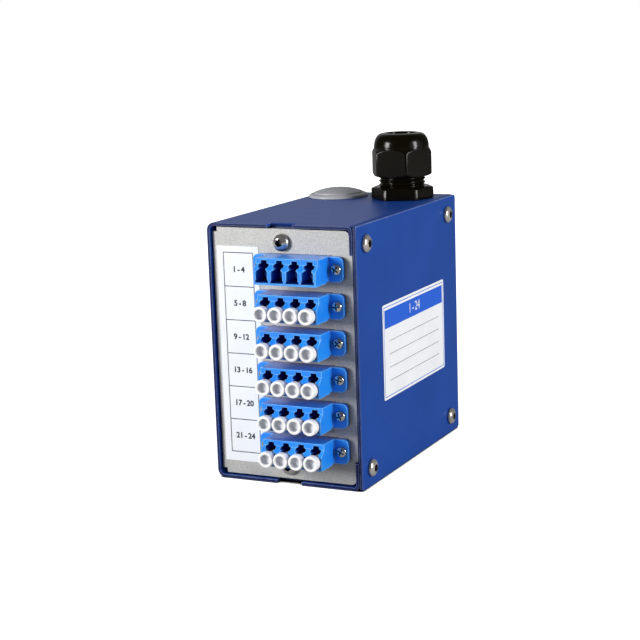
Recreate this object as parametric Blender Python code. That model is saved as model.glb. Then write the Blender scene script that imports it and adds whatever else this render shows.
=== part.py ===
# DIN rail fibre box: a folded sheet housing with six four-way LC adapters, a cable gland,
# a blanking plug, a splice tray and a sprung rail clip.
# Metres. Origin at the centre of the base, front towards -Y, side cover at +X, +Z up.

import math

import bmesh
import bpy
from mathutils import Vector

# Clearances
GAP = 0.0003                    # between pieces that seat on or pass through each other
GLUE_LINE = 0.00008             # under a stuck-on label

# Housing, one folded sheet that is open to the right
BOX_DEPTH = 0.1000
SHEET = 0.0012
FOLD_RADIUS = 0.0030            # outside of the folds along the left wall
CORNER_RELIEF = 0.0036          # square cut where three folds would meet
FLANGE_HEIGHT = 0.0106          # inner flanges that carry the side cover
FLANGE_FOLD_RADIUS = 0.0020
TAB_WIDTH = 0.0100              # front tabs that carry the front plate
TAB_LENGTH = 0.0096
TAB_FOLD_RADIUS = 0.0020
TAB_SLIT = 0.0010               # cut beside the tab, past its fold

# Side cover and its label
COVER_CORNER_RADIUS = 0.0012
COVER_SCREW_FRONT = 0.0084      # from the front edge
COVER_SCREW_BACK = 0.0100       # from the back edge
COVER_SCREW_TOP = 0.0072
COVER_SCREW_BOTTOM = 0.0072
LABEL_THICKNESS = 0.00012
SIDE_LABEL_LENGTH = 0.0625
SIDE_LABEL_HEIGHT = 0.0371
SIDE_LABEL_Y = 0.00325
SIDE_LABEL_Z = 0.04825
LABEL_CORNER_RADIUS = 0.0008

# Front plate
PLATE_SHEET = 0.0012
PLATE_RECESS = 0.0015
PLATE_LEFT_GAP = 0.0005
PLATE_RIGHT_GAP = 0.0010
PLATE_END_GAP = 0.0006
PLATE_FLANGE_GAP = 0.0007       # between the plate and the cover's flanges
PLATE_NOTCH = 0.0018            # small cuts that clear the left folds
PLATE_SCREW_INSET = 0.0068      # from the top and from the base
PORT_LABEL_LEFT = 0.0032        # from the left side of the box
PORT_LABEL_LAP = 0.0011         # how far it runs in under the adapters' ears
PORT_LABEL_TOP = 0.0089         # from the top of the box
PORT_LABEL_BOTTOM = 0.0069

# Socket screws of the cover, the plate and the rail clip
SCREW_SHANK_RADIUS = 0.0015
SCREW_HEAD_RADIUS = 0.00315
SCREW_HEAD_HEIGHT = 0.0026
SCREW_LENGTH = 0.0058
SOCKET_RADIUS = 0.0011
SOCKET_DEPTH = 0.0010

# Four-way adapters
ROWS = 6
PORTS = 4
ADAPTER_RIGHT = 0.0237          # from the right side of the box to the adapters' centre
TOP_ROW = 0.01588               # from the top of the box
ROW_PITCH = 0.01382
BOTTOM_ROW = 0.01502            # from the base
PORT_PITCH = 0.00625
BODY_END = 0.0002               # outside the outer ports' pitch
BODY_ABOVE = 0.00482            # from the centre of the ears up
BODY_BELOW = 0.00494
BODY_FRONT = 0.0110             # from the front of the ears forward
BODY_REAR = 0.0130              # from the front plate back
BODY_STEP = 0.0006              # lift of the underside next to the ears
BODY_STEP_LENGTH = 0.0021
LATCH_SETBACK = 0.0024          # the front's upper part lies this far behind the lower
LATCH_SLOPE = 0.0023            # height of the slope between them
EAR_LENGTH = 0.0058             # beside the body
EAR_HEIGHT = 0.0095
EAR_THICKNESS = 0.0020
EAR_RADIUS = 0.0020
EAR_SCREW_INSET = 0.0027        # from the end of the ear
EAR_SCREW_SHANK_RADIUS = 0.0010
EAR_SCREW_HEAD_RADIUS = 0.0021
EAR_SCREW_HEAD_HEIGHT = 0.0012
EAR_SCREW_LENGTH = 0.0055
PORT_DEPTH = 0.0086
PORT_FLOOR = 0.0008             # wall under the port
GROOVE_WIDTH = 0.0054
GROOVE_HEIGHT = 0.0010
PORT_WIDTH = 0.00465
PORT_HEIGHT = 0.0034            # straight sides of the plug's opening
NECK_WIDTH = 0.0030
NECK_HEIGHT = 0.0005
SHOULDER_WIDTH = 0.0043
SHOULDER_HEIGHT = 0.0009
LATCH_WIDTH = 0.0024
LATCH_HEIGHT = 0.0011
PORT_CHAMFER = 0.0004
SLEEVE_RADIUS = 0.00125
SLEEVE_BORE = 0.00065
SLEEVE_LENGTH = 0.0037
SLEEVE_HEIGHT = 0.00324         # axis of the sleeve above the adapter's underside

# Dust caps
CAP_RADIUS = 0.0030
CAP_LENGTH = 0.0027
CAP_BORE = 0.0022
CAP_BORE_DEPTH = 0.0022
CAP_STEM_LENGTH = 0.0058
CAP_WALL = 0.0008               # web between the two bores

# Cable gland, with heights from the top of the box
THREAD_RADIUS = 0.0096
CABLE_RADIUS = 0.0048           # bore of the seal
GLAND_SHOULDER = 0.0019         # of the hexagon outside the thread
GLAND_CORNER = 0.00045          # taken off the hexagon's corners
GLAND_FLANGE = 0.0048
GLAND_TURN = -12.0
GLAND_BORE_WALL = 0.0034        # between the thread and the bore
THREAD_BELOW = 0.0080
THREAD_SHOWN = 0.0041
THREAD_ABOVE = 0.0178
SEAT_HEIGHT = 0.0088
SEAT_WALL = 0.0011
NUT_WALL = 0.0016
NUT_CORNER = 0.00025
NUT_HEIGHT = 0.0115
NUT_TURN = 31.0
DOME_SHOULDER = 0.0014          # of the dome outside the thread
DOME_HEIGHT = 0.0061
DOME_LIP = 0.0012               # of the mouth outside the seal's bore
DOME_WALL = 0.0017
SEAL_WALL = 0.0014
SEAL_TOP_GAP = 0.0008           # between the seal and the mouth of the nut
LOCKNUT_HEIGHT = 0.0045

# Blanking plug in the second cable hole
PLUG_FIT = 0.0002               # its stem is this much wider than the gland's thread
PLUG_BRIM = 0.0026              # of its head outside the stem
PLUG_RIM = 0.0006
PLUG_DOME = 0.0037
PLUG_STEM_LENGTH = 0.0048
PLUG_BEAD = 0.0007
PLUG_WALL = 0.0012

# Room round the plug and the gland, which settles the width of the box
PLUG_SIDE = 0.0031              # from the plug's head to the left side
FITTING_GAP = 0.0040            # between the plug and the gland
LOCKNUT_SIDE = 0.0040           # from the locknut's corner to the right side
LOCKNUT_BACK = 0.0019           # from the locknut's corner to the back

# Splice tray on the left wall
TRAY_FRONT = 0.0230             # from the front of the box
TRAY_BACK = 0.0070              # from the back
TRAY_END = 0.0100               # from the top and from the base
TRAY_DEPTH = 0.0080
TRAY_WALL = 0.0012
TRAY_RADIUS = 0.0100
RIBS = 7
RIB_MARGIN = 0.0030             # between the outer ribs and the hubs
RIB_THICKNESS = 0.0010
RIB_LENGTH = 0.0240
RIB_HEIGHT = 0.0045
HUB_RADIUS = 0.0100
HUB_END = 0.0150                # from an end of the tray to the hub's axis

# Rail clip on the back
RAIL_HEIGHT = 0.0350
RAIL_SHEET = 0.0010
SEAT_RELIEF = 0.0005            # the seat steps back this much beside the hooks
CLIP_WIDTH = 0.0300
CLIP_BASE = 0.0040
CLIP_TOP = 0.0150               # above the rail
CLIP_BOTTOM = 0.0185            # below the rail
HOOK_SLOT = 0.0016
HOOK_LIP = 0.0020
HOOK_THICKNESS = 0.0030
LATCH_SLIDE_WIDTH = 0.0140
LATCH_THICKNESS = 0.0044
LATCH_LIP = 0.0020
LATCH_FOOT = 0.0070             # below the clip's body
LATCH_PRY_WIDTH = 0.0060
LATCH_PRY_HEIGHT = 0.0020
GUIDE_BRIDGE = 0.0022
CLIP_SCREW_SPACING = 0.0160
SPRING_RADIUS = 0.0016
SPRING_WIRE = 0.00025
SPRING_LENGTH = 0.0078
SPRING_TURNS = 5
SPRING_STOP = 0.0020

ROUND = 24                      # sides of the larger round forms
SMALL_ROUND = 10
TINY_ROUND = 8

# Sizes that follow from the pieces that have to fit
PLUG_STEM_RADIUS = THREAD_RADIUS + PLUG_FIT
PLUG_RADIUS = PLUG_STEM_RADIUS + PLUG_BRIM
GLAND_ACROSS = 2 * (THREAD_RADIUS + GLAND_SHOULDER)
GLAND_CORNER_RADIUS = GLAND_ACROSS / math.sqrt(3) - GLAND_CORNER
NUT_ACROSS = 2 * (THREAD_RADIUS + GAP + NUT_WALL)
NUT_CORNER_RADIUS = NUT_ACROSS / math.sqrt(3) - NUT_CORNER
LOCKNUT_CORNER_RADIUS = NUT_ACROSS / math.sqrt(3)
DOME_RADIUS = THREAD_RADIUS + DOME_SHOULDER
DOME_OPENING = CABLE_RADIUS + DOME_LIP
FITTINGS = 2 * PLUG_RADIUS + FITTING_GAP + GLAND_CORNER_RADIUS + LOCKNUT_CORNER_RADIUS
BOX_WIDTH = PLUG_SIDE + FITTINGS + LOCKNUT_SIDE
BOX_HEIGHT = TOP_ROW + (ROWS - 1) * ROW_PITCH + BOTTOM_ROW
BODY_WIDTH = PORTS * PORT_PITCH + 2 * BODY_END
EAR_WIDTH = BODY_WIDTH + 2 * EAR_LENGTH
EAR_SCREW_SPACING = EAR_WIDTH - 2 * EAR_SCREW_INSET

# Places that several pieces share
RIGHT = BOX_WIDTH / 2
LEFT = -BOX_WIDTH / 2
FRONT = -BOX_DEPTH / 2
BACK = BOX_DEPTH / 2
COVER_INSIDE = RIGHT - SHEET
FLANGE_FACE = COVER_INSIDE - GAP
PLATE_FRONT = FRONT + PLATE_RECESS
PLATE_BACK = PLATE_FRONT + PLATE_SHEET
TAB_FACE = PLATE_BACK + GAP
EAR_FRONT = PLATE_FRONT - GAP - EAR_THICKNESS
ADAPTER_FRONT = EAR_FRONT - BODY_FRONT
ADAPTER_REAR = PLATE_BACK + BODY_REAR
ADAPTER_X = RIGHT - ADAPTER_RIGHT
ROW_HEIGHTS = [BOX_HEIGHT - TOP_ROW - row * ROW_PITCH for row in range(ROWS)]
PORT_OFFSETS = [(port - (PORTS - 1) / 2) * PORT_PITCH for port in range(PORTS)]
CLIP_FACE = BACK + GAP
RAIL_FACE = CLIP_FACE + CLIP_BASE
RAIL_Z = BOX_HEIGHT / 2
PLUG_X = LEFT + PLUG_SIDE + PLUG_RADIUS
GLAND_X = RIGHT - LOCKNUT_SIDE - LOCKNUT_CORNER_RADIUS
HOLE_Y = BACK - LOCKNUT_BACK - LOCKNUT_CORNER_RADIUS
SCREW_HOLE = SCREW_SHANK_RADIUS + GAP
GLAND_HOLE = THREAD_RADIUS + GAP
PLUG_HOLE = PLUG_STEM_RADIUS + GAP


def clear_scene():
    for item in list(bpy.data.objects):
        bpy.data.objects.remove(item, do_unlink=True)


def tone(red, green, blue):
    """A colour from its 0 to 255 screen values, as Blender's linear ones."""
    parts = []
    for value in (red, green, blue):
        share = value / 255
        parts.append(share / 12.92 if share <= 0.04045 else ((share + 0.055) / 1.055) ** 2.4)
    return (*parts, 1.0)


def make_material(name, color, roughness, metallic=0.0):
    material = bpy.data.materials.new(name)
    material.use_nodes = True
    shader = material.node_tree.nodes["Principled BSDF"]
    shader.inputs["Base Color"].default_value = color
    shader.inputs["Roughness"].default_value = roughness
    shader.inputs["Metallic"].default_value = metallic
    return material


def add_object(name, form, material, place=(0, 0, 0), turn=(0, 0, 0), smooth=None):
    """Put a bmesh or a mesh into the scene as one named object."""
    if isinstance(form, bmesh.types.BMesh):
        mesh = bpy.data.meshes.new(name)
        form.to_mesh(mesh)
        form.free()
    else:
        mesh = form
    if smooth:
        mesh.shade_smooth()
        mesh.set_sharp_from_angle(angle=math.radians(smooth))
    item = bpy.data.objects.new(name, mesh)
    bpy.context.scene.collection.objects.link(item)
    item.location = place
    item.rotation_euler = turn
    if material:
        item.data.materials.clear()
        item.data.materials.append(material)
    return item


def boolean(target, form, operation):
    """Cut a form from the target, or join it on, with a live Boolean."""
    tool = add_object(target.name + "_tool", form, None)
    tool.hide_render = True
    tool.display_type = "WIRE"
    modifier = target.modifiers.new(operation.lower(), "BOOLEAN")
    modifier.operation = operation
    modifier.solver = "EXACT"
    modifier.object = tool


def finished_mesh(item):
    """The object's mesh with its modifiers applied; the object and its tools go away."""
    graph = bpy.context.evaluated_depsgraph_get()
    mesh = bpy.data.meshes.new_from_object(item.evaluated_get(graph))
    for tool in [modifier.object for modifier in item.modifiers]:
        bpy.data.objects.remove(tool)
    bpy.data.objects.remove(item)
    return mesh


def circle(radius, count, centre=(0, 0)):
    angles = [math.tau * step / count for step in range(count)]
    return [(centre[0] + radius * math.cos(a), centre[1] + radius * math.sin(a)) for a in angles]


def rectangle(width, height, centre=(0, 0)):
    x, y = centre
    w, h = width / 2, height / 2
    return [(x - w, y - h), (x + w, y - h), (x + w, y + h), (x - w, y + h)]


def rounded_rectangle(width, height, radius, centre=(0, 0), steps=3):
    points = []
    for side_x, side_y, start in ((1, 1, 0), (-1, 1, 90), (-1, -1, 180), (1, -1, 270)):
        x = centre[0] + side_x * (width / 2 - radius)
        y = centre[1] + side_y * (height / 2 - radius)
        for step in range(steps + 1):
            angle = math.radians(start + 90 * step / steps)
            points.append((x + radius * math.cos(angle), y + radius * math.sin(angle)))
    return points


def spot(axis, u, v, w):
    """A point from its two outline values and its depth along the axis."""
    return {"X": (w, u, v), "Y": (u, w, v), "Z": (u, v, w)}[axis]


def add_prism(form, outline, axis, low, high):
    """Extrude a flat outline along X, Y or Z inside a bmesh."""
    verts = [form.verts.new(spot(axis, u, v, low)) for u, v in outline]
    face = form.faces.new(verts)
    extruded = bmesh.ops.extrude_face_region(form, geom=[face])["geom"]
    moved = [item for item in extruded if isinstance(item, bmesh.types.BMVert)]
    bmesh.ops.translate(form, verts=moved, vec=Vector(spot(axis, 0, 0, high - low)))
    bmesh.ops.recalc_face_normals(form, faces=form.faces)


def prisms(outlines, axis, low, high):
    form = bmesh.new()
    for outline in outlines:
        add_prism(form, outline, axis, low, high)
    return form


def prism(outline, axis, low, high):
    return prisms([outline], axis, low, high)


def turned(profile, steps):
    """Spin a profile of (radius, height) points about Z; it starts and ends on the axis."""
    form = bmesh.new()
    line = [form.verts.new((radius, 0, height)) for radius, height in profile]
    edges = [form.edges.new(pair) for pair in zip(line, line[1:])]
    bmesh.ops.spin(
        form, geom=line + edges, cent=(0, 0, 0), axis=(0, 0, 1), angle=math.tau, steps=steps, use_merge=True
    )
    bmesh.ops.remove_doubles(form, verts=form.verts, dist=1e-6)
    bmesh.ops.recalc_face_normals(form, faces=form.faces)
    return form


def round_ring(radius, height):
    return [(x, y, height) for x, y in circle(radius, ROUND)]


def hexagon_ring(across, corner, height):
    """A hexagon with rounded corners, with as many points as a round ring."""
    points = []
    for step in range(ROUND):
        angle = math.tau * step / ROUND
        from_flat = (angle + math.pi / 6) % (math.pi / 3) - math.pi / 6
        radius = min(across / 2 / math.cos(from_flat), corner)
        points.append((radius * math.cos(angle), radius * math.sin(angle), height))
    return points


def lofted(rings):
    """Skin rings that close on themselves: up the outside and back down the bore."""
    form = bmesh.new()
    loops = [[form.verts.new(point) for point in ring] for ring in rings]
    for lower, upper in zip(loops, loops[1:] + loops[:1]):
        for step in range(len(lower)):
            after = (step + 1) % len(lower)
            form.faces.new((lower[step], lower[after], upper[after], upper[step]))
    bmesh.ops.recalc_face_normals(form, faces=form.faces)
    return form


def screw(head_radius, head_height, shank_radius, length, steps, socket):
    """A screw along Z with its head's underside at GAP; the socket is left off small ones."""
    dome = head_height * 0.45
    profile = [
        (0, -length),
        (shank_radius, -length),
        (shank_radius, GAP),
        (head_radius, GAP),
        (head_radius, GAP + dome),
        (head_radius * 0.72, GAP + head_height),
    ]
    if socket:
        profile.append((SOCKET_RADIUS, GAP + head_height))
        profile.append((SOCKET_RADIUS, GAP + head_height - SOCKET_DEPTH))
        profile.append((0, GAP + head_height - SOCKET_DEPTH))
    else:
        profile.append((0, GAP + head_height))
    return turned(profile, steps)


# Turns that point a piece's +Z to the front, to the right and to the back
TO_FRONT = (math.pi / 2, 0, 0)
TO_RIGHT = (0, math.pi / 2, 0)
TO_BACK = (-math.pi / 2, 0, 0)


def blank_faces():
    """The housing's outer skin before its folds are rounded, as flat outlines."""
    top_back = BACK - SHEET - GAP
    relief = CORNER_RELIEF
    notch = TAB_WIDTH / 2 + GAP
    tab = TAB_WIDTH / 2
    slit = TAB_FACE + TAB_FOLD_RADIUS + TAB_SLIT

    def level(z):
        return [
            (LEFT, FRONT, z),
            (-notch, FRONT, z),
            (-notch, slit, z),
            (-tab, slit, z),
            (-tab, TAB_FACE, z),
            (tab, TAB_FACE, z),
            (tab, slit, z),
            (notch, slit, z),
            (notch, FRONT, z),
            (FLANGE_FACE, FRONT, z),
            (FLANGE_FACE, top_back, z),
            (LEFT + relief, top_back, z),
            (LEFT + relief, BACK - relief, z),
            (LEFT, BACK - relief, z),
        ]

    def flange(z, end):
        return [(FLANGE_FACE, y, height) for y, height in ((FRONT, z), (top_back, z), (top_back, end), (FRONT, end))]

    def front_tab(z, end):
        return [(x, TAB_FACE, height) for x, height in ((-tab, z), (tab, z), (tab, end), (-tab, end))]

    left_wall = [
        (LEFT, FRONT, 0),
        (LEFT, FRONT, BOX_HEIGHT),
        (LEFT, BACK - relief, BOX_HEIGHT),
        (LEFT, BACK - relief, BOX_HEIGHT - relief),
        (LEFT, BACK, BOX_HEIGHT - relief),
        (LEFT, BACK, relief),
        (LEFT, BACK - relief, relief),
        (LEFT, BACK - relief, 0),
    ]
    back_wall = [
        (LEFT, BACK, relief),
        (LEFT, BACK, BOX_HEIGHT - relief),
        (LEFT + relief, BACK, BOX_HEIGHT - relief),
        (LEFT + relief, BACK, BOX_HEIGHT),
        (FLANGE_FACE, BACK, BOX_HEIGHT),
        (FLANGE_FACE, BACK, 0),
        (LEFT + relief, BACK, 0),
        (LEFT + relief, BACK, relief),
    ]
    return [
        left_wall,
        back_wall,
        level(BOX_HEIGHT),
        level(0),
        flange(BOX_HEIGHT, BOX_HEIGHT - FLANGE_HEIGHT),
        flange(0, FLANGE_HEIGHT),
        front_tab(BOX_HEIGHT, BOX_HEIGHT - TAB_LENGTH),
        front_tab(0, TAB_LENGTH),
    ]


def folded_skin():
    """Join the outlines along their folds and round each fold."""
    form = bmesh.new()
    known = {}
    for outline in blank_faces():
        verts = []
        for point in outline:
            key = tuple(round(value, 7) for value in point)
            if key not in known:
                known[key] = form.verts.new(point)
            verts.append(known[key])
        form.faces.new(verts)
    bmesh.ops.recalc_face_normals(form, faces=form.faces)
    top = max(form.faces, key=lambda face: face.calc_center_median().z)
    if top.normal.z < 0:
        bmesh.ops.reverse_faces(form, faces=form.faces)

    def folds(test):
        found = []
        for edge in form.edges:
            if len(edge.link_faces) == 2 and test((edge.verts[0].co + edge.verts[1].co) / 2):
                found.append(edge)
        return found

    groups = (
        (lambda p: abs(p.x - LEFT) < GAP, FOLD_RADIUS),
        (lambda p: abs(p.x - FLANGE_FACE) < GAP, FLANGE_FOLD_RADIUS),
        (lambda p: abs(p.y - TAB_FACE) < GAP and abs(p.x) < TAB_WIDTH, TAB_FOLD_RADIUS),
    )
    for test, radius in groups:
        bmesh.ops.bevel(
            form, geom=folds(test), offset=radius, offset_type="OFFSET", segments=4,
            profile=0.5, affect="EDGES", clamp_overlap=False,
        )
    return form


def make_housing(material):
    shell = add_object("housing_shell", folded_skin(), material, smooth=30)
    solid = shell.modifiers.new("sheet", "SOLIDIFY")
    solid.thickness = SHEET
    solid.offset = -1
    solid.use_even_offset = True
    above, below = BOX_HEIGHT + SHEET, BOX_HEIGHT - 2 * SHEET
    holes = prisms(
        [circle(GLAND_HOLE, ROUND, (GLAND_X, HOLE_Y)), circle(PLUG_HOLE, ROUND, (PLUG_X, HOLE_Y))],
        "Z", below, above,
    )
    for y, z in cover_screw_places():
        add_prism(holes, circle(SCREW_HOLE, TINY_ROUND, (y, z)), "X", FLANGE_FACE - 2 * SHEET, FLANGE_FACE + GAP)
    for z in plate_screw_heights():
        add_prism(holes, circle(SCREW_HOLE, TINY_ROUND, (0, z)), "Y", TAB_FACE - GAP, TAB_FACE + 2 * SHEET)
    for z in clip_screw_heights():
        add_prism(holes, circle(SCREW_HOLE, TINY_ROUND, (0, z)), "Y", BACK - 2 * SHEET, BACK + SHEET)
    boolean(shell, holes, "DIFFERENCE")


def cover_screw_places():
    columns = (FRONT + COVER_SCREW_FRONT, BACK - COVER_SCREW_BACK)
    heights = (BOX_HEIGHT - COVER_SCREW_TOP, COVER_SCREW_BOTTOM)
    return [(y, z) for z in heights for y in columns]


def plate_screw_heights():
    return (BOX_HEIGHT - PLATE_SCREW_INSET, PLATE_SCREW_INSET)


def clip_screw_heights():
    return (RAIL_Z + CLIP_SCREW_SPACING / 2, RAIL_Z - CLIP_SCREW_SPACING / 2)


def make_side_cover(paint, steel, paper):
    outline = rounded_rectangle(BOX_DEPTH, BOX_HEIGHT, COVER_CORNER_RADIUS, (0, BOX_HEIGHT / 2))
    cover = add_object("side_cover", prism(outline, "X", COVER_INSIDE, RIGHT), paint, smooth=30)
    holes = [circle(SCREW_HOLE, TINY_ROUND, place) for place in cover_screw_places()]
    boolean(cover, prisms(holes, "X", COVER_INSIDE - SHEET, RIGHT + SHEET), "DIFFERENCE")
    mesh = socket_screw_mesh()
    for number, (y, z) in enumerate(cover_screw_places(), 1):
        add_object(f"side_cover_screw_{number}", mesh, steel, (RIGHT, y, z), TO_RIGHT)
    label = rounded_rectangle(
        SIDE_LABEL_LENGTH, SIDE_LABEL_HEIGHT, LABEL_CORNER_RADIUS, (SIDE_LABEL_Y, SIDE_LABEL_Z), steps=2
    )
    face = RIGHT + GLUE_LINE
    add_object("side_label", prism(label, "X", face, face + LABEL_THICKNESS), paper)


def socket_screw_mesh():
    form = screw(SCREW_HEAD_RADIUS, SCREW_HEAD_HEIGHT, SCREW_SHANK_RADIUS, SCREW_LENGTH, SMALL_ROUND, True)
    mesh = bpy.data.meshes.new("socket_screw")
    form.to_mesh(mesh)
    form.free()
    mesh.shade_smooth()
    mesh.set_sharp_from_angle(angle=math.radians(40))
    return mesh


def plate_outline():
    left = LEFT + SHEET + PLATE_LEFT_GAP
    right = COVER_INSIDE - PLATE_RIGHT_GAP
    notched = FLANGE_FACE - SHEET - PLATE_FLANGE_GAP
    low = SHEET + PLATE_END_GAP
    high = BOX_HEIGHT - SHEET - PLATE_END_GAP
    flange = FLANGE_HEIGHT + GAP
    return [
        (left + PLATE_NOTCH, low),
        (notched, low),
        (notched, flange),
        (right, flange),
        (right, BOX_HEIGHT - flange),
        (notched, BOX_HEIGHT - flange),
        (notched, high),
        (left + PLATE_NOTCH, high),
        (left + PLATE_NOTCH, high - PLATE_NOTCH),
        (left, high - PLATE_NOTCH),
        (left, low + PLATE_NOTCH),
        (left + PLATE_NOTCH, low + PLATE_NOTCH),
    ]


def make_front_plate(zinc, steel, paper):
    plate = add_object("front_plate", prism(plate_outline(), "Y", PLATE_FRONT, PLATE_BACK), zinc)
    height = BODY_ABOVE + BODY_BELOW + 2 * GAP
    shift = (BODY_ABOVE - BODY_BELOW) / 2
    outlines = []
    for z in ROW_HEIGHTS:
        outlines.append(rectangle(BODY_WIDTH + 2 * GAP, height, (ADAPTER_X, z + shift)))
        for x in ear_screw_places():
            outlines.append(circle(EAR_SCREW_SHANK_RADIUS + GAP, TINY_ROUND, (x, z)))
    for z in plate_screw_heights():
        outlines.append(circle(SCREW_HOLE, TINY_ROUND, (0, z)))
    boolean(plate, prisms(outlines, "Y", PLATE_FRONT - SHEET, PLATE_BACK + SHEET), "DIFFERENCE")
    mesh = socket_screw_mesh()
    for word, z in zip(("top", "bottom"), plate_screw_heights()):
        add_object(f"front_plate_screw_{word}", mesh, steel, (0, PLATE_FRONT, z), TO_FRONT)
    left = LEFT + PORT_LABEL_LEFT
    right = ADAPTER_X - EAR_WIDTH / 2 + PORT_LABEL_LAP
    top = BOX_HEIGHT - PORT_LABEL_TOP
    label = [(left, PORT_LABEL_BOTTOM), (right, PORT_LABEL_BOTTOM), (right, top), (left, top)]
    face = PLATE_FRONT - GLUE_LINE
    add_object("port_label", prism(label, "Y", face - LABEL_THICKNESS, face), paper)


def ear_screw_places():
    return (ADAPTER_X - EAR_SCREW_SPACING / 2, ADAPTER_X + EAR_SCREW_SPACING / 2)


def mirrored(side):
    """Close a right-hand outline with its mirror image."""
    return side + [(-x, z) for x, z in reversed(side)]


def keyed_port(x):
    """The plug's opening with its base groove below and its latch way above."""
    base = PORT_FLOOR - BODY_BELOW
    step = base + GROOVE_HEIGHT
    sides = step + PORT_HEIGHT
    neck = sides + PORT_CHAMFER
    shoulder = neck + NECK_HEIGHT + PORT_CHAMFER
    ledge = shoulder + SHOULDER_HEIGHT
    latch = ledge + PORT_CHAMFER
    outline = mirrored([
        (GROOVE_WIDTH / 2, base),
        (GROOVE_WIDTH / 2, step),
        (PORT_WIDTH / 2, step),
        (PORT_WIDTH / 2, sides),
        (NECK_WIDTH / 2, neck),
        (NECK_WIDTH / 2, neck + NECK_HEIGHT),
        (SHOULDER_WIDTH / 2, shoulder),
        (SHOULDER_WIDTH / 2, ledge),
        (LATCH_WIDTH / 2, latch),
        (LATCH_WIDTH / 2, latch + LATCH_HEIGHT),
    ])
    return [(x + u, v) for u, v in outline]


def plain_port(x):
    """The rear opening: the plug's square with the latch way above it."""
    base = PORT_FLOOR - BODY_BELOW
    sides = base + GROOVE_HEIGHT + PORT_HEIGHT
    outline = mirrored([
        (PORT_WIDTH / 2, base),
        (PORT_WIDTH / 2, sides),
        (LATCH_WIDTH / 2, sides),
        (LATCH_WIDTH / 2, sides + SHOULDER_HEIGHT + LATCH_HEIGHT),
    ])
    return [(x + u, v) for u, v in outline]


def adapter_mesh():
    """One moulded adapter about the centre of its ears, in place along Y."""
    lifted = BODY_STEP - BODY_BELOW
    slope = PORT_FLOOR + GROOVE_HEIGHT + PORT_HEIGHT - BODY_BELOW
    side = [
        (ADAPTER_FRONT, -BODY_BELOW),
        (EAR_FRONT - BODY_STEP_LENGTH, -BODY_BELOW),
        (EAR_FRONT - BODY_STEP_LENGTH + BODY_STEP, lifted),
        (EAR_FRONT, lifted),
        (EAR_FRONT, -BODY_BELOW),
        (ADAPTER_REAR, -BODY_BELOW),
        (ADAPTER_REAR, BODY_ABOVE),
        (ADAPTER_FRONT + LATCH_SETBACK, BODY_ABOVE),
        (ADAPTER_FRONT + LATCH_SETBACK, slope + LATCH_SLOPE),
        (ADAPTER_FRONT, slope),
    ]
    body = add_object("adapter", prism(side, "X", -BODY_WIDTH / 2, BODY_WIDTH / 2), None)
    ears = prism(rounded_rectangle(EAR_WIDTH, EAR_HEIGHT, EAR_RADIUS), "Y", EAR_FRONT, EAR_FRONT + EAR_THICKNESS)
    boolean(body, ears, "UNION")
    floor = ADAPTER_FRONT + PORT_DEPTH
    rear_floor = ADAPTER_REAR - PORT_DEPTH
    ports = prisms([keyed_port(x) for x in PORT_OFFSETS], "Y", ADAPTER_FRONT - SHEET, floor)
    for x in PORT_OFFSETS:
        add_prism(ports, plain_port(x), "Y", rear_floor, ADAPTER_REAR + SHEET)
    for x in (-EAR_SCREW_SPACING / 2, EAR_SCREW_SPACING / 2):
        hole = circle(EAR_SCREW_SHANK_RADIUS + GAP, TINY_ROUND, (x, 0))
        add_prism(ports, hole, "Y", EAR_FRONT - SHEET, EAR_FRONT + EAR_THICKNESS + SHEET)
    boolean(body, ports, "DIFFERENCE")
    axes = [(x, SLEEVE_HEIGHT - BODY_BELOW) for x in PORT_OFFSETS]
    sleeves = prisms([circle(SLEEVE_RADIUS, TINY_ROUND, p) for p in axes], "Y", floor - SLEEVE_LENGTH, floor + SHEET)
    boolean(body, sleeves, "UNION")
    bores = prisms([circle(SLEEVE_BORE, 6, p) for p in axes], "Y", ADAPTER_FRONT, ADAPTER_REAR)
    boolean(body, bores, "DIFFERENCE")
    return finished_mesh(body)


def dust_cap_mesh():
    """A hollow cap about its axis: handle in front, stem behind that covers the sleeve."""
    stem = PORT_WIDTH / 2 - GAP
    sleeve_bore = SLEEVE_RADIUS + GAP
    web = CAP_LENGTH - CAP_BORE_DEPTH
    profile = [
        (0, web - CAP_WALL),
        (sleeve_bore, web - CAP_WALL),
        (sleeve_bore, -CAP_STEM_LENGTH),
        (stem, -CAP_STEM_LENGTH),
        (stem, 0),
        (CAP_RADIUS, 0),
        (CAP_RADIUS, CAP_LENGTH),
        (CAP_BORE, CAP_LENGTH),
        (CAP_BORE, web),
        (0, web),
    ]
    mesh = bpy.data.meshes.new("dust_cap")
    form = turned(profile, SMALL_ROUND)
    form.to_mesh(mesh)
    form.free()
    mesh.shade_smooth()
    mesh.set_sharp_from_angle(angle=math.radians(40))
    return mesh


def make_adapters(plastic, white, steel):
    mesh = adapter_mesh()
    cap = dust_cap_mesh()
    small = screw(
        EAR_SCREW_HEAD_RADIUS, EAR_SCREW_HEAD_HEIGHT, EAR_SCREW_SHANK_RADIUS, EAR_SCREW_LENGTH, TINY_ROUND, False
    )
    ear_screw = bpy.data.meshes.new("ear_screw")
    small.to_mesh(ear_screw)
    small.free()
    for row, z in enumerate(ROW_HEIGHTS, 1):
        add_object(f"adapter_row_{row}", mesh, plastic, (ADAPTER_X, 0, z))
        for word, x in zip(("left", "right"), ear_screw_places()):
            add_object(f"adapter_screw_{row}_{word}", ear_screw, steel, (x, EAR_FRONT, z), TO_FRONT)
        if row == 1:
            continue
        for port, offset in enumerate(PORT_OFFSETS, 1):
            place = (ADAPTER_X + offset, ADAPTER_FRONT - GAP, z + SLEEVE_HEIGHT - BODY_BELOW)
            add_object(f"dust_cap_{row}_{port}", cap, white, place, TO_FRONT)


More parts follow.
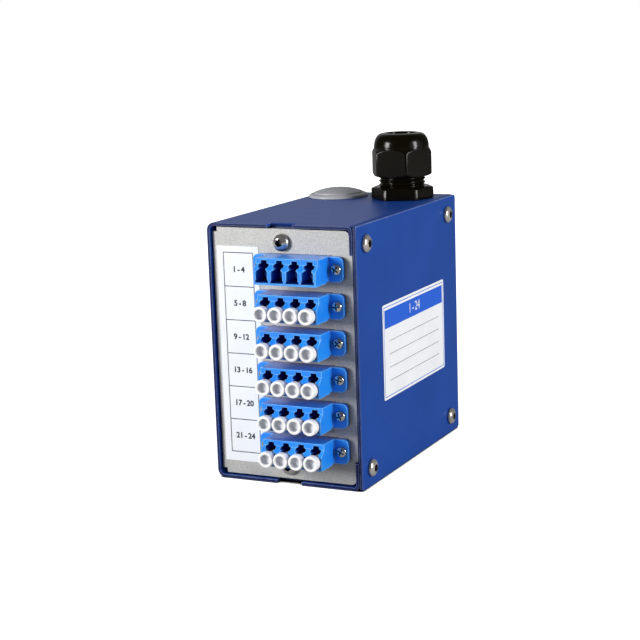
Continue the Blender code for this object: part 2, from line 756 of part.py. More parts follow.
def make_gland(black, rubber):
    """Body, dome nut, seal and locknut about the gland's own axis."""
    place = (GLAND_X, HOLE_Y, BOX_HEIGHT)
    flange_top = GAP + GLAND_FLANGE
    nut_low = flange_top + THREAD_SHOWN
    nut_high = nut_low + NUT_HEIGHT
    bore = THREAD_RADIUS - GLAND_BORE_WALL
    dome_top = nut_high + DOME_HEIGHT
    body = lofted([
        round_ring(bore, -THREAD_BELOW),
        round_ring(THREAD_RADIUS, -THREAD_BELOW),
        round_ring(THREAD_RADIUS, GAP),
        hexagon_ring(GLAND_ACROSS, GLAND_CORNER_RADIUS, GAP),
        hexagon_ring(GLAND_ACROSS, GLAND_CORNER_RADIUS, flange_top - SHEET / 2),
        hexagon_ring(GLAND_ACROSS - SHEET, GLAND_CORNER_RADIUS - SHEET / 2, flange_top),
        round_ring(THREAD_RADIUS, flange_top),
        round_ring(THREAD_RADIUS, THREAD_ABOVE),
        round_ring(THREAD_RADIUS - SEAT_WALL, THREAD_ABOVE),
        round_ring(THREAD_RADIUS - SEAT_WALL, SEAT_HEIGHT),
        round_ring(bore, SEAT_HEIGHT),
    ])
    add_object("gland_body", body, black, place, (0, 0, math.radians(GLAND_TURN)), smooth=35)

    def dome(rise, radius):
        """Rings of a dome from its base to its opening, as a flattened quarter turn."""
        rings = []
        for degrees in (0, 25, 50, 72):
            angle = math.radians(degrees)
            width = DOME_OPENING + (radius - DOME_OPENING) * math.cos(angle) ** 0.8
            rings.append(round_ring(width, nut_high + rise * math.sin(angle)))
        return rings

    inner = dome(DOME_HEIGHT - DOME_WALL, DOME_RADIUS - DOME_WALL)
    nut = lofted(
        [
            round_ring(THREAD_RADIUS + GAP, nut_low),
            hexagon_ring(NUT_ACROSS - SHEET, NUT_CORNER_RADIUS - SHEET, nut_low),
            hexagon_ring(NUT_ACROSS, NUT_CORNER_RADIUS, nut_low + SHEET),
            hexagon_ring(NUT_ACROSS, NUT_CORNER_RADIUS, nut_high - SHEET / 2),
        ]
        + dome(DOME_HEIGHT, DOME_RADIUS)
        + [round_ring(DOME_OPENING, dome_top)]
        + [round_ring(DOME_OPENING, dome_top - DOME_WALL)]
        + inner[::-1]
        + [round_ring(THREAD_RADIUS + GAP, nut_high - GAP)]
    )
    add_object("gland_dome_nut", nut, black, place, (0, 0, math.radians(NUT_TURN)), smooth=35)

    seat = SEAT_HEIGHT + GAP
    seal_top = dome_top - DOME_WALL - SEAL_TOP_GAP
    seal_radius = THREAD_RADIUS - SEAT_WALL - GAP
    seal = lofted([
        round_ring(CABLE_RADIUS, seat),
        round_ring(seal_radius, seat),
        round_ring(seal_radius, THREAD_ABOVE + GAP),
        round_ring(CABLE_RADIUS + SEAL_WALL, seal_top),
        round_ring(CABLE_RADIUS, seal_top),
    ])
    add_object("gland_seal", seal, rubber, place, smooth=35)

    low = -SHEET - GAP - LOCKNUT_HEIGHT
    high = -SHEET - GAP
    locknut = lofted([
        round_ring(THREAD_RADIUS + GAP, low),
        hexagon_ring(NUT_ACROSS, LOCKNUT_CORNER_RADIUS, low),
        hexagon_ring(NUT_ACROSS, LOCKNUT_CORNER_RADIUS, high),
        round_ring(THREAD_RADIUS + GAP, high),
    ])
    add_object("gland_locknut", locknut, black, place, smooth=35)


def make_blanking_plug(grey):
    under = -SHEET - GAP
    inner = PLUG_STEM_RADIUS - PLUG_WALL
    top = GAP + PLUG_RIM
    dome = []
    for share in (1.0, 0.85, 0.5):
        dome.append((PLUG_RADIUS * share, top + (PLUG_DOME - PLUG_RIM) * (1 - share ** 2)))
    profile = [
        (0, GAP + PLUG_DOME),
        *dome[::-1],
        (PLUG_RADIUS, GAP),
        (PLUG_STEM_RADIUS, GAP),
        (PLUG_STEM_RADIUS, under),
        (PLUG_STEM_RADIUS + PLUG_BEAD, under - PLUG_BEAD),
        (PLUG_STEM_RADIUS, -PLUG_STEM_LENGTH),
        (inner, -PLUG_STEM_LENGTH),
        (inner, GAP),
        (0, GAP + PLUG_DOME - PLUG_WALL),
    ]
    add_object("blanking_plug", turned(profile, ROUND), grey, (PLUG_X, HOLE_Y, BOX_HEIGHT), smooth=35)


def make_splice_tray(plastic):
    """An open cassette on the left wall: rim, splice ribs and two fibre hubs."""
    wall = LEFT + SHEET + GAP
    length = BOX_DEPTH - TRAY_FRONT - TRAY_BACK
    height = BOX_HEIGHT - 2 * TRAY_END
    tray_y = FRONT + TRAY_FRONT + length / 2
    tray_z = BOX_HEIGHT / 2
    centre = (tray_y, tray_z)
    floor = wall + TRAY_WALL
    tray = add_object(
        "splice_tray",
        prism(rounded_rectangle(length, height, TRAY_RADIUS, centre), "X", wall, wall + TRAY_DEPTH),
        plastic,
        smooth=30,
    )
    inside = rounded_rectangle(length - 2 * TRAY_WALL, height - 2 * TRAY_WALL, TRAY_RADIUS - TRAY_WALL, centre)
    boolean(tray, prism(inside, "X", floor, wall + 2 * TRAY_DEPTH), "DIFFERENCE")
    hubs = [(tray_y, tray_z + side * (height / 2 - HUB_END)) for side in (-1, 1)]
    pitch = (height - 2 * (HUB_END + HUB_RADIUS + RIB_MARGIN)) / (RIBS - 1)
    outlines = []
    for rib in range(RIBS):
        z = tray_z + (rib - (RIBS - 1) / 2) * pitch
        outlines.append(rectangle(RIB_LENGTH, RIB_THICKNESS, (tray_y, z)))
    fittings = prisms(outlines, "X", wall + TRAY_WALL / 2, floor + RIB_HEIGHT)
    for hub in hubs:
        add_prism(fittings, circle(HUB_RADIUS, SMALL_ROUND, hub), "X", wall + TRAY_WALL / 2, floor + RIB_HEIGHT)
    boolean(tray, fittings, "UNION")
    cores = [circle(HUB_RADIUS - TRAY_WALL, SMALL_ROUND, hub) for hub in hubs]
    boolean(tray, prisms(cores, "X", floor, wall + 2 * TRAY_DEPTH), "DIFFERENCE")


def make_rail_clip(black, zinc, steel):
    """A base with a fixed upper hook, and a latch that a spring holds up under the rail."""
    rail_top = RAIL_Z + RAIL_HEIGHT / 2 + GAP
    rail_low = RAIL_Z - RAIL_HEIGHT / 2 - GAP
    slot = RAIL_FACE + HOOK_SLOT
    hook_back = slot + HOOK_THICKNESS
    slide_front = RAIL_FACE + 2 * GAP
    slide_back = slide_front + LATCH_THICKNESS
    guide_back = slide_back + GAP + GUIDE_BRIDGE
    bottom = rail_low - CLIP_BOTTOM
    guide_top = rail_low - GAP
    seat_low = rail_low + LATCH_LIP + GAP
    seat_high = rail_top - HOOK_LIP - GAP
    relief = RAIL_FACE - SEAT_RELIEF
    side = [
        (CLIP_FACE, bottom),
        (guide_back, bottom),
        (guide_back, guide_top),
        (relief, guide_top),
        (relief, seat_low),
        (RAIL_FACE, seat_low),
        (RAIL_FACE, seat_high),
        (relief, seat_high),
        (relief, rail_top),
        (slot, rail_top),
        (slot, rail_top - HOOK_LIP),
        (hook_back, rail_top - HOOK_LIP + SHEET),
        (hook_back, rail_top + HOOK_THICKNESS),
        (RAIL_FACE, rail_top + CLIP_TOP),
        (CLIP_FACE, rail_top + CLIP_TOP),
    ]
    clip = add_object("din_clip_body", prism(side, "X", -CLIP_WIDTH / 2, CLIP_WIDTH / 2), black)
    channel = prism(
        rectangle(LATCH_SLIDE_WIDTH + 2 * GAP, 2 * RAIL_Z, (0, rail_low - RAIL_Z + SHEET)),
        "Y", RAIL_FACE + GAP, slide_back + GAP,
    )
    for z in clip_screw_heights():
        add_prism(channel, circle(SCREW_HOLE, TINY_ROUND, (0, z)), "Y", CLIP_FACE - SHEET, RAIL_FACE)
    boolean(clip, channel, "DIFFERENCE")
    seat = RAIL_FACE - SCREW_HEAD_HEIGHT - 2 * GAP
    wells = [circle(SCREW_HEAD_RADIUS + GAP, SMALL_ROUND, (0, z)) for z in clip_screw_heights()]
    boolean(clip, prisms(wells, "Y", seat, RAIL_FACE + SHEET), "DIFFERENCE")

    spring_y = (slide_front + slide_back) / 2
    pocket = 2 * (SPRING_RADIUS + SPRING_WIRE + GAP)
    stop_top = guide_top - GAP - SPRING_LENGTH - 4 * GAP - SHEET
    stop = rectangle(pocket - 2 * GAP, SPRING_STOP, (0, stop_top - SPRING_STOP / 2))
    boolean(clip, prism(stop, "Y", RAIL_FACE - GAP, slide_back - GAP), "UNION")

    foot = bottom - LATCH_FOOT
    lip = slide_front + RAIL_SHEET + GAP
    profile = [
        (slide_front, foot),
        (slide_back, foot),
        (slide_back, rail_low + SHEET / 2),
        (lip + SHEET, rail_low + LATCH_LIP),
        (lip, rail_low + LATCH_LIP),
        (lip, rail_low - GAP),
        (slide_front, rail_low - GAP),
    ]
    latch = add_object(
        "din_clip_latch", prism(profile, "X", -LATCH_SLIDE_WIDTH / 2, LATCH_SLIDE_WIDTH / 2), zinc
    )
    spring_low = stop_top + GAP
    spring_high = spring_low + SPRING_LENGTH
    window_low = stop_top - SPRING_STOP - 2 * GAP
    window_high = spring_high + GAP
    window = rectangle(pocket, window_high - window_low, (0, (window_high + window_low) / 2))
    pry = rectangle(LATCH_PRY_WIDTH, LATCH_PRY_HEIGHT, (0, foot + LATCH_PRY_HEIGHT + SHEET))
    boolean(latch, prisms([window, pry], "Y", slide_front - SHEET, slide_back + SHEET), "DIFFERENCE")

    points = []
    steps = SPRING_TURNS * TINY_ROUND
    rise = SPRING_LENGTH - 2 * SPRING_WIRE
    for step in range(steps + 1):
        angle = math.tau * step / TINY_ROUND
        height = spring_low + SPRING_WIRE + rise * step / steps
        points.append((SPRING_RADIUS * math.cos(angle), spring_y + SPRING_RADIUS * math.sin(angle), height))
    wire = bpy.data.curves.new("din_clip_spring", "CURVE")
    wire.dimensions = "3D"
    wire.bevel_depth = SPRING_WIRE
    wire.bevel_resolution = 0
    wire.use_fill_caps = True
    line = wire.splines.new("POLY")
    line.points.add(len(points) - 1)
    for point, place in zip(line.points, points):
        point.co = (*place, 1)
    spring = bpy.data.objects.new("din_clip_spring", wire)
    bpy.context.scene.collection.objects.link(spring)
    wire.materials.append(steel)

    mesh = socket_screw_mesh()
    for number, z in enumerate(clip_screw_heights(), 1):
        add_object(f"din_clip_screw_{number}", mesh, steel, (0, seat, z), TO_BACK)


def main():
    clear_scene()
    paint = make_material("blue_powder_coat", tone(35, 78, 162), 0.45)
    zinc = make_material("zinc_plate", tone(176, 178, 180), 0.42, 0.8)
    steel = make_material("stainless_steel", tone(205, 205, 208), 0.25, 1.0)
    paper = make_material("label_paper", tone(245, 245, 247), 0.6)
    blue = make_material("adapter_plastic", tone(38, 122, 232), 0.4)
    white = make_material("cap_plastic", tone(240, 240, 238), 0.4)
    black = make_material("black_polyamide", tone(24, 22, 16), 0.3)
    rubber = make_material("seal_rubber", tone(30, 30, 32), 0.7)
    grey = make_material("grey_plastic", tone(165, 166, 172), 0.5)
    ivory = make_material("tray_plastic", tone(210, 212, 214), 0.5)
    make_housing(paint)
    make_side_cover(paint, steel, paper)
    make_front_plate(zinc, steel, paper)
    make_adapters(blue, white, steel)
    make_gland(black, rubber)
    make_blanking_plug(grey)
    make_splice_tray(ivory)
    make_rail_clip(black, zinc, steel)


main()
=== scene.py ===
import math

import bmesh
import bpy
from mathutils import Matrix, Vector


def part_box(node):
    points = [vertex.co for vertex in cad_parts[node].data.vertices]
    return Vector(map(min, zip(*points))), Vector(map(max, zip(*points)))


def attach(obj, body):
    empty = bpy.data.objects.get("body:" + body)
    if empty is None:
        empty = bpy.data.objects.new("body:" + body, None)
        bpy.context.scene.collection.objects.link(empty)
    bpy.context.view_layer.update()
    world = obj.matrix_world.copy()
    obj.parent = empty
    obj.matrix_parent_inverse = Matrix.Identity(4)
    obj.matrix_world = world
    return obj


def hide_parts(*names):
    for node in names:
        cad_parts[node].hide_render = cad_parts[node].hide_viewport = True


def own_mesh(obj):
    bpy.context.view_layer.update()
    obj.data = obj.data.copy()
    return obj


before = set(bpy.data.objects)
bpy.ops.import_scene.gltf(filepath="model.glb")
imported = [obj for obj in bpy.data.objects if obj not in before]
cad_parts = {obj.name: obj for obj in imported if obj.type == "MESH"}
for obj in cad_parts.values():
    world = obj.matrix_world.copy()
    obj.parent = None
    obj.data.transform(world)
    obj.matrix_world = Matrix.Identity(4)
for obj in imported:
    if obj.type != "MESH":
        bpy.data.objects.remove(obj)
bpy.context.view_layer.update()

view = {
    "target": (0.0, 0.0, 0.048),
    "distance": 0.65752,
    "azimuth": 25.44,       # degrees, towards the side cover
    "elevation": 11.69,
    "roll": -1.81,
    "lens": 91.56,
    "sensor": 36,
    "shift": (-0.03224, 0.02431),
}

rows = range(1, 7)
ports = range(1, 5)


# Even steps from 0 to 1
def shares(count):
    return [step / count for step in range(count + 1)]


def tone(red, green, blue):
    parts = []
    for value in (red, green, blue):
        share = value / 255
        parts.append(share / 12.92 if share <= 0.04045 else ((share + 0.055) / 1.055) ** 2.4)
    return (*parts, 1.0)


def assign(thing, settings):
    for name, value in settings.items():
        setattr(thing, name, value)


def toMesh(name, form):
    mesh = bpy.data.meshes.new(name)
    form.to_mesh(mesh)
    form.free()
    return mesh


def smooth(mesh, sharpAngle):
    mesh.shade_smooth()
    mesh.set_sharp_from_angle(angle=math.radians(sharpAngle))


def link(name, data):
    item = bpy.data.objects.new(name, data)
    bpy.context.scene.collection.objects.link(item)
    return item


def placeMesh(name, mesh, material):
    if not mesh.materials:
        mesh.materials.append(material)
    return link(name, mesh)


def newObject(name, form, material, sharpAngle=35):
    mesh = toMesh(name, form)
    smooth(mesh, sharpAngle)
    return placeMesh(name, mesh, material)


def finishPiece(item, body, slotName, *nodes):
    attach(item, body)
    if nodes:
        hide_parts(*nodes)


def extent(node):
    low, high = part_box(node)
    return low, high, (low + high) / 2


def middleOf(node):
    return extent(node)[2]


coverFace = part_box("side_cover")[1].x
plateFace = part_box("front_plate")[0].y
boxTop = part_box("housing_shell")[1].z

solidMerge = 2e-6       # joins the corners of a faceted solid
flatAngle = 0.5         # faces closer than this become one
profileMerge = 1e-6
rounding = {"limit_method": "WEIGHT", "harden_normals": True, "use_clamp_overlap": True}
flatNormals = {"mode": "FACE_AREA", "weight": 100, "keep_sharp": True}  # large faces stay flat


# A copy of a solid with its flat faces joined up and its outer edges softly rounded
def bevelled(node, name, material, width, segments=2, sharpest=30, reshape=None):
    form = bmesh.new()
    form.from_mesh(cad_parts[node].data)
    bmesh.ops.remove_doubles(form, verts=form.verts, dist=solidMerge)
    flat = math.radians(flatAngle)
    bmesh.ops.dissolve_limit(form, angle_limit=flat, verts=form.verts, edges=form.edges)
    form.normal_update()
    if reshape:
        reshape(form)
        form.normal_update()
    weight = form.edges.layers.float.new("bevel_weight_edge")
    limit = math.radians(sharpest)
    for edge in form.edges:
        if len(edge.link_faces) == 2 and edge.calc_face_angle_signed() > limit:
            edge[weight] = 1.0      # outer edges only
    item = newObject(name, form, material)
    edges = {"width": width, "segments": segments, **rounding}
    assign(item.modifiers.new("edges", "BEVEL"), edges)
    assign(item.modifiers.new("flat", "WEIGHTED_NORMAL"), flatNormals)
    return item


def dress(node, name, body, slotName, material, width, **options):
    item = bevelled(node, name, finish[material], width, **options)
    finishPiece(item, body, slotName, node)


# Spin (radius, height) points about Z, from one point on the axis to another
def revolve(profile, steps):
    form = bmesh.new()
    line = [form.verts.new((radius, 0, height)) for radius, height in profile]
    edges = [form.edges.new(pair) for pair in zip(line, line[1:])]
    bmesh.ops.spin(
        form, geom=line + edges, cent=(0, 0, 0), axis=(0, 0, 1),
        angle=math.tau, steps=steps, use_merge=True,
    )
    bmesh.ops.remove_doubles(form, verts=form.verts, dist=profileMerge)
    bmesh.ops.recalc_face_normals(form, faces=form.faces)
    return form


# The same profile with each inner corner replaced by a short arc
def rounded(points, radius, steps=3, mostOfSide=0.45):
    result = [points[0]]
    for before, corner, after in zip(points, points[1:], points[2:]):
        middle = Vector(corner)
        start = Vector(before) - middle
        end = Vector(after) - middle
        cut = min(radius, start.length * mostOfSide, end.length * mostOfSide)
        first = middle + start.normalized() * cut
        last = middle + end.normalized() * cut
        for share in shares(steps):
            rest = 1 - share
            point = first * rest ** 2 + middle * 2 * share * rest + last * share ** 2
            result.append(tuple(point))
    result.append(points[-1])
    return result


# Quads between two rings of equal length
def bridge(form, lower, upper):
    for step in range(len(lower)):
        after = (step + 1) % len(lower)
        form.faces.new((lower[step], lower[after], upper[after], upper[step]))


# Rings joined up the outside and back down the bore
def skin(rings):
    form = bmesh.new()
    loops = [[form.verts.new(point) for point in ring] for ring in rings]
    for lower, upper in zip(loops, loops[1:] + loops[:1]):
        bridge(form, lower, upper)
    bmesh.ops.recalc_face_normals(form, faces=form.faces)
    return form


# A flat outline pushed along a direction into a closed block
def prism(points, push):
    form = bmesh.new()
    face = form.faces.new([form.verts.new(point) for point in points])
    pushed = bmesh.ops.extrude_face_region(form, geom=[face])["geom"]
    verts = [item for item in pushed if isinstance(item, bmesh.types.BMVert)]
    bmesh.ops.translate(form, verts=verts, vec=push)
    bmesh.ops.recalc_face_normals(form, faces=form.faces)
    return form


# A flat sheet in XZ that faces -Y, from y = 0 forward, with rounded corners where wanted
def slab(width, height, thickness, radius=0.0, steps=4):
    points = []
    for sideX, sideZ, start in ((1, 1, 0), (-1, 1, 90), (-1, -1, 180), (1, -1, 270)):
        for share in (shares(steps) if radius else (0,)):
            angle = math.radians(start + 90 * share)
            x = sideX * (width / 2 - radius) + radius * math.cos(angle)
            z = sideZ * (height / 2 - radius) + radius * math.sin(angle)
            points.append((x, 0, z))
    return prism(points, (0, -thickness, 0))


def polar(radius, angle, height):
    return (radius * math.cos(angle), radius * math.sin(angle), height)


def moveTo(form, place):
    bmesh.ops.translate(form, verts=form.verts, vec=Vector(place))


def turnFromUp(direction):
    return Vector((0, 0, 1)).rotation_difference(Vector(direction)).to_matrix().to_4x4()


# Start a shader node group that several materials share
def newGroup(name, inputs, outputs):
    group = bpy.data.node_groups.new(name, "ShaderNodeTree")
    kind = "NodeSocketFloat"
    for label, value in inputs.items():
        socket = group.interface.new_socket(name=label, in_out="INPUT", socket_type=kind)
        socket.default_value = value
    for label in outputs:
        group.interface.new_socket(name=label, in_out="OUTPUT", socket_type=kind)
    return group, group.nodes.new("NodeGroupInput"), group.nodes.new("NodeGroupOutput")


# Link sockets to a node's inputs, or set plain values there
def feed(tree, node, values):
    for label, value in values.items():
        if isinstance(value, bpy.types.NodeSocket):
            tree.links.new(value, node.inputs[label])
        else:
            node.inputs[label].default_value = value


def addNode(tree, kind, values=None, **settings):
    node = tree.nodes.new(kind)
    assign(node, settings)
    feed(tree, node, values or {})
    return node


def mathNode(tree, operation, first, second):
    values = {0: first, 1: second}
    return addNode(tree, "ShaderNodeMath", values, operation=operation).outputs[0]


def multiply(tree, first, second):
    return mathNode(tree, "MULTIPLY", first, second)


def add(tree, first, second):
    return mathNode(tree, "ADD", first, second)


def mapRange(tree, value, span, result=(0.0, 1.0)):
    values = dict(zip(("From Min", "From Max", "To Min", "To Max"), (*span, *result)))
    values["Value"] = value
    return addNode(tree, "ShaderNodeMapRange", values, clamp=True).outputs["Result"]


def noiseNode(tree, scale, detail=3.0, roughness=0.55):
    place = addNode(tree, "ShaderNodeTexCoord").outputs["Object"]
    values = {"Vector": place, "Scale": scale, "Detail": detail, "Roughness": roughness}
    return addNode(tree, "ShaderNodeTexNoise", values).outputs["Fac"]


# Which way a surface faces, along one axis
def facing(tree, axis):
    normal = addNode(tree, "ShaderNodeNewGeometry").outputs["Normal"]
    return addNode(tree, "ShaderNodeSeparateXYZ", {0: normal}).outputs[axis]


# Fine speckle and slow cloud, as values about 0.5, and their sum as a height
def buildFineGrain():
    group, source, sink = newGroup(
        "fineGrain", {"Speckle Scale": 2600, "Cloud Scale": 60}, ("Speckle", "Cloud", "Height")
    )
    cloudHeight, sumHeight = 0.4, 0.7
    speckle = noiseNode(group, source.outputs["Speckle Scale"], detail=4.0, roughness=0.6)
    cloud = noiseNode(group, source.outputs["Cloud Scale"], detail=2.0, roughness=0.5)
    both = add(group, speckle, multiply(group, cloud, cloudHeight))
    height = multiply(group, both, sumHeight)
    feed(group, sink, {"Speckle": speckle, "Cloud": cloud, "Height": height})
    return group


# The shallow dimples of sprayed powder coat
def buildOrangePeel():
    group, source, sink = newGroup("orangePeel", {"Scale": 900}, ("Height",))
    dimples = noiseNode(group, source.outputs["Scale"], detail=1.0, roughness=0.4)
    feed(group, sink, {"Height": dimples})
    return group


edgeGlint = {
    "flatToEdge": (0.995, 0.93),    # how far the softened normal turns away
    "patchScale": 300, "patchSpan": (0.35, 0.6), "patchShare": (0.6, 1.0),
}


# A mask for painted highlights, 1 along outer edges and 0 on flats, broken up a little
def buildEdgeGlint():
    group, source, sink = newGroup("edgeGlint", {"Reach": 0.0004}, ("Mask",))
    soft = addNode(group, "ShaderNodeBevel", {"Radius": source.outputs["Reach"]}, samples=4)
    flat = addNode(group, "ShaderNodeNewGeometry")
    normals = {0: soft.outputs["Normal"], 1: flat.outputs["Normal"]}
    turned = addNode(group, "ShaderNodeVectorMath", normals, operation="DOT_PRODUCT")
    edges = mapRange(group, turned.outputs["Value"], edgeGlint["flatToEdge"])
    patches = noiseNode(group, edgeGlint["patchScale"])
    broken = mapRange(group, patches, edgeGlint["patchSpan"], edgeGlint["patchShare"])
    feed(group, sink, {"Mask": multiply(group, edges, broken)})
    return group


dustFilm = {"upSpan": (0.5, 1.0), "patchScale": 140, "patchSpan": (0.35, 0.75)}


# A thin film of dust on faces that look up
def buildDustFilm():
    group, source, sink = newGroup("dustFilm", {"Amount": 0.1}, ("Mask",))
    up = mapRange(group, facing(group, "Z"), dustFilm["upSpan"])
    patches = noiseNode(group, dustFilm["patchScale"], detail=5.0, roughness=0.65)
    dusty = multiply(group, up, mapRange(group, patches, dustFilm["patchSpan"]))
    feed(group, sink, {"Mask": multiply(group, dusty, source.outputs["Amount"])})
    return group


groups = {
    "grain": buildFineGrain(),
    "peel": buildOrangePeel(),
    "edge": buildEdgeGlint(),
    "dust": buildDustFilm(),
}


# Named values with the spaces that their sockets have
def spaced(values):
    return {label.replace("_", " "): value for label, value in values.items()}


def useGroup(tree, name, **values):
    return addNode(tree, "ShaderNodeGroup", spaced(values), node_tree=groups[name]).outputs


def addGrain(tree, speckleScale, cloudScale):
    return useGroup(tree, "grain", Speckle_Scale=speckleScale, Cloud_Scale=cloudScale)


# The colour sockets of a Mix node share their names with its number sockets
def blendColor(tree, factor, first, second):
    values = {0: factor, 6: first, 7: second}
    return addNode(tree, "ShaderNodeMix", values, data_type="RGBA").outputs[2]


def startMaterial(name, **sockets):
    material = bpy.data.materials.new(name)
    material.use_nodes = True
    tree = material.node_tree
    shader = tree.nodes["Principled BSDF"]
    feed(tree, shader, spaced(sockets))
    return material, tree, shader


# Where painted shade goes: 1 deep in a hollow, 0 on open faces
def hollowMask(tree, reach, span):
    hollow = addNode(tree, "ShaderNodeAmbientOcclusion", {"Distance": reach}, samples=6)
    return mapRange(tree, hollow.outputs["AO"], span, (1.0, 0.0))


cloudSpan = (0.35, 0.65)
speckleSpan = (0.3, 0.7)


def cloudTones(tree, grain, shade, color):
    return blendColor(tree, mapRange(tree, grain["Cloud"], cloudSpan), shade, color)


def speckled(tree, grain, roughness):
    return mapRange(tree, grain["Speckle"], speckleSpan, roughness)


def setSurface(tree, shader, base, roughness, height, depth, strength=0.5):
    relief = {"Height": height, "Distance": depth, "Strength": strength}
    bump = addNode(tree, "ShaderNodeBump", relief).outputs["Normal"]
    feed(tree, shader, {"Base Color": base, "Roughness": roughness, "Normal": bump})


powderCoat = {
    "color": tone(20, 71, 158),
    "deep": tone(17, 67, 151),
    "dust": tone(190, 194, 200), "dustAmount": 0.02,
    "cut": tone(7, 24, 74),         # painted shade on faces that look to the front, the sheet's cut front edges among them
    "frontShadeSpan": (-0.35, -0.85), "frontShadeShare": 0.95,
    "gap": tone(6, 20, 66),         # painted shade deep between sheets and under screw heads
    "gapShadeReach": 0.0022, "gapShadeSpan": (0.25, 0.72),
    "edgeHighlight": tone(150, 164, 216),    # painted highlight along open edges
    "edgeHighlightReach": 0.0005, "edgeHighlightShare": 0.7,
    "roughness": (0.34, 0.42),
    "grain": (1800, 35),
    "peelScale": 1100, "peelDepth": 0.00003, "peelStrength": 0.6,
}


def makePowderCoat():
    coat = powderCoat
    material, tree, shader = startMaterial("bluePowderCoat", IOR=1.45, Specular_IOR_Level=0.25)
    grain = addGrain(tree, *coat["grain"])
    base = cloudTones(tree, grain, coat["deep"], coat["color"])
    dust = useGroup(tree, "dust", Amount=coat["dustAmount"])["Mask"]
    base = blendColor(tree, dust, base, coat["dust"])
    # painted shade on the faces that look to the front
    frontShade = mapRange(tree, facing(tree, "Y"), coat["frontShadeSpan"], (0.0, coat["frontShadeShare"]))
    base = blendColor(tree, frontShade, base, coat["cut"])
    # painted shade between sheets and under screw heads
    gapShade = hollowMask(tree, coat["gapShadeReach"], coat["gapShadeSpan"])
    base = blendColor(tree, gapShade, base, coat["gap"])
    # painted highlight along open edges, kept out of the gaps
    edge = useGroup(tree, "edge", Reach=coat["edgeHighlightReach"])["Mask"]
    openEdge = multiply(tree, edge, mathNode(tree, "SUBTRACT", coat["edgeHighlightShare"], gapShade))
    base = blendColor(tree, mathNode(tree, "MAXIMUM", openEdge, 0.0), base, coat["edgeHighlight"])
    polish = speckled(tree, grain, coat["roughness"])
    peel = useGroup(tree, "peel", Scale=coat["peelScale"])["Height"]
    setSurface(tree, shader, base, polish, peel, coat["peelDepth"], coat["peelStrength"])
    return material


zincFinish = {
    "light": tone(204, 203, 198),
    "dark": tone(160, 160, 160),
    "mottle": (0.8, 0.2), "mottleSpan": (0.36, 0.64),   # shares of speckle and of cloud
    "roughness": (0.46, 0.60),
    "grain": (2100, 90), "grainDepth": 0.00002,
}


def makeZinc():
    zinc = zincFinish
    material, tree, shader = startMaterial("zincPlate", Metallic=0.35)
    grain = addGrain(tree, *zinc["grain"])
    fine, slow = zinc["mottle"]
    speckle, cloud = multiply(tree, grain["Speckle"], fine), multiply(tree, grain["Cloud"], slow)
    patches = mapRange(tree, add(tree, speckle, cloud), zinc["mottleSpan"])
    base = blendColor(tree, patches, zinc["dark"], zinc["light"])
    polish = mapRange(tree, grain["Cloud"], speckleSpan, zinc["roughness"])
    setSurface(tree, shader, base, polish, grain["Height"], zinc["grainDepth"])
    return material


adapterPlastic = {
    "color": tone(36, 146, 250),
    "deep": tone(28, 134, 245),
    # painted highlight along the edges
    "edge": tone(140, 214, 255), "edgeReach": 0.0006, "edgeShare": 0.9,
    # painted shade inside the ports and beside the body
    "hollow": tone(9, 20, 140), "hollowReach": 0.006, "hollowSpan": (0.22, 0.66),
    "roughness": (0.26, 0.36),
    "grain": (3000, 120), "bumpDepth": 0.00001, "bumpStrength": 0.4,
}


def makeAdapterPlastic():
    plastic = adapterPlastic
    material, tree, shader = startMaterial("bluePlastic", IOR=1.5)
    grain = addGrain(tree, *plastic["grain"])
    base = cloudTones(tree, grain, plastic["deep"], plastic["color"])
    # painted highlight along the edges
    edge = useGroup(tree, "edge", Reach=plastic["edgeReach"])["Mask"]
    base = blendColor(tree, multiply(tree, edge, plastic["edgeShare"]), base, plastic["edge"])
    # painted shade deep in the ports
    shade = hollowMask(tree, plastic["hollowReach"], plastic["hollowSpan"])
    base = blendColor(tree, shade, base, plastic["hollow"])
    polish = speckled(tree, grain, plastic["roughness"])
    height, depth = grain["Height"], plastic["bumpDepth"]
    setSurface(tree, shader, base, polish, height, depth, plastic["bumpStrength"])
    return material


plasticGrain = {
    "scale": 2600, "cloudScale": 80, "bump": 0.00001,
    "dust": tone(170, 172, 176), "hollowReach": 0.004, "hollowSpan": (0.18, 0.72),
}


# Moulded plastic: two close tones, a fine surface and, where wanted, dust or painted shade in
# hollows
def makePlastic(
    name, color, shade, roughness, bump=plasticGrain["bump"], scale=plasticGrain["scale"],
    dust=0.0, hollow=None, **sockets
):
    material, tree, shader = startMaterial(name, **sockets)
    grain = addGrain(tree, scale, plasticGrain["cloudScale"])
    base = cloudTones(tree, grain, tone(*shade), tone(*color))
    if dust:
        film = useGroup(tree, "dust", Amount=dust)["Mask"]
        base = blendColor(tree, film, base, plasticGrain["dust"])
    if hollow:
        # painted shade in hollows
        deep = hollowMask(tree, plasticGrain["hollowReach"], plasticGrain["hollowSpan"])
        base = blendColor(tree, deep, base, tone(*hollow))
    setSurface(tree, shader, base, speckled(tree, grain, roughness), grain["Height"], bump)
    return material


steelGrain = {
    "grain": (4200, 200), "bump": 0.000006, "shade": 0.86,
    # the hollow tone is painted shade in sockets and cross recesses
    "hollow": tone(30, 28, 28), "hollowReach": 0.0026, "hollowSpan": (0.35, 0.95),
}


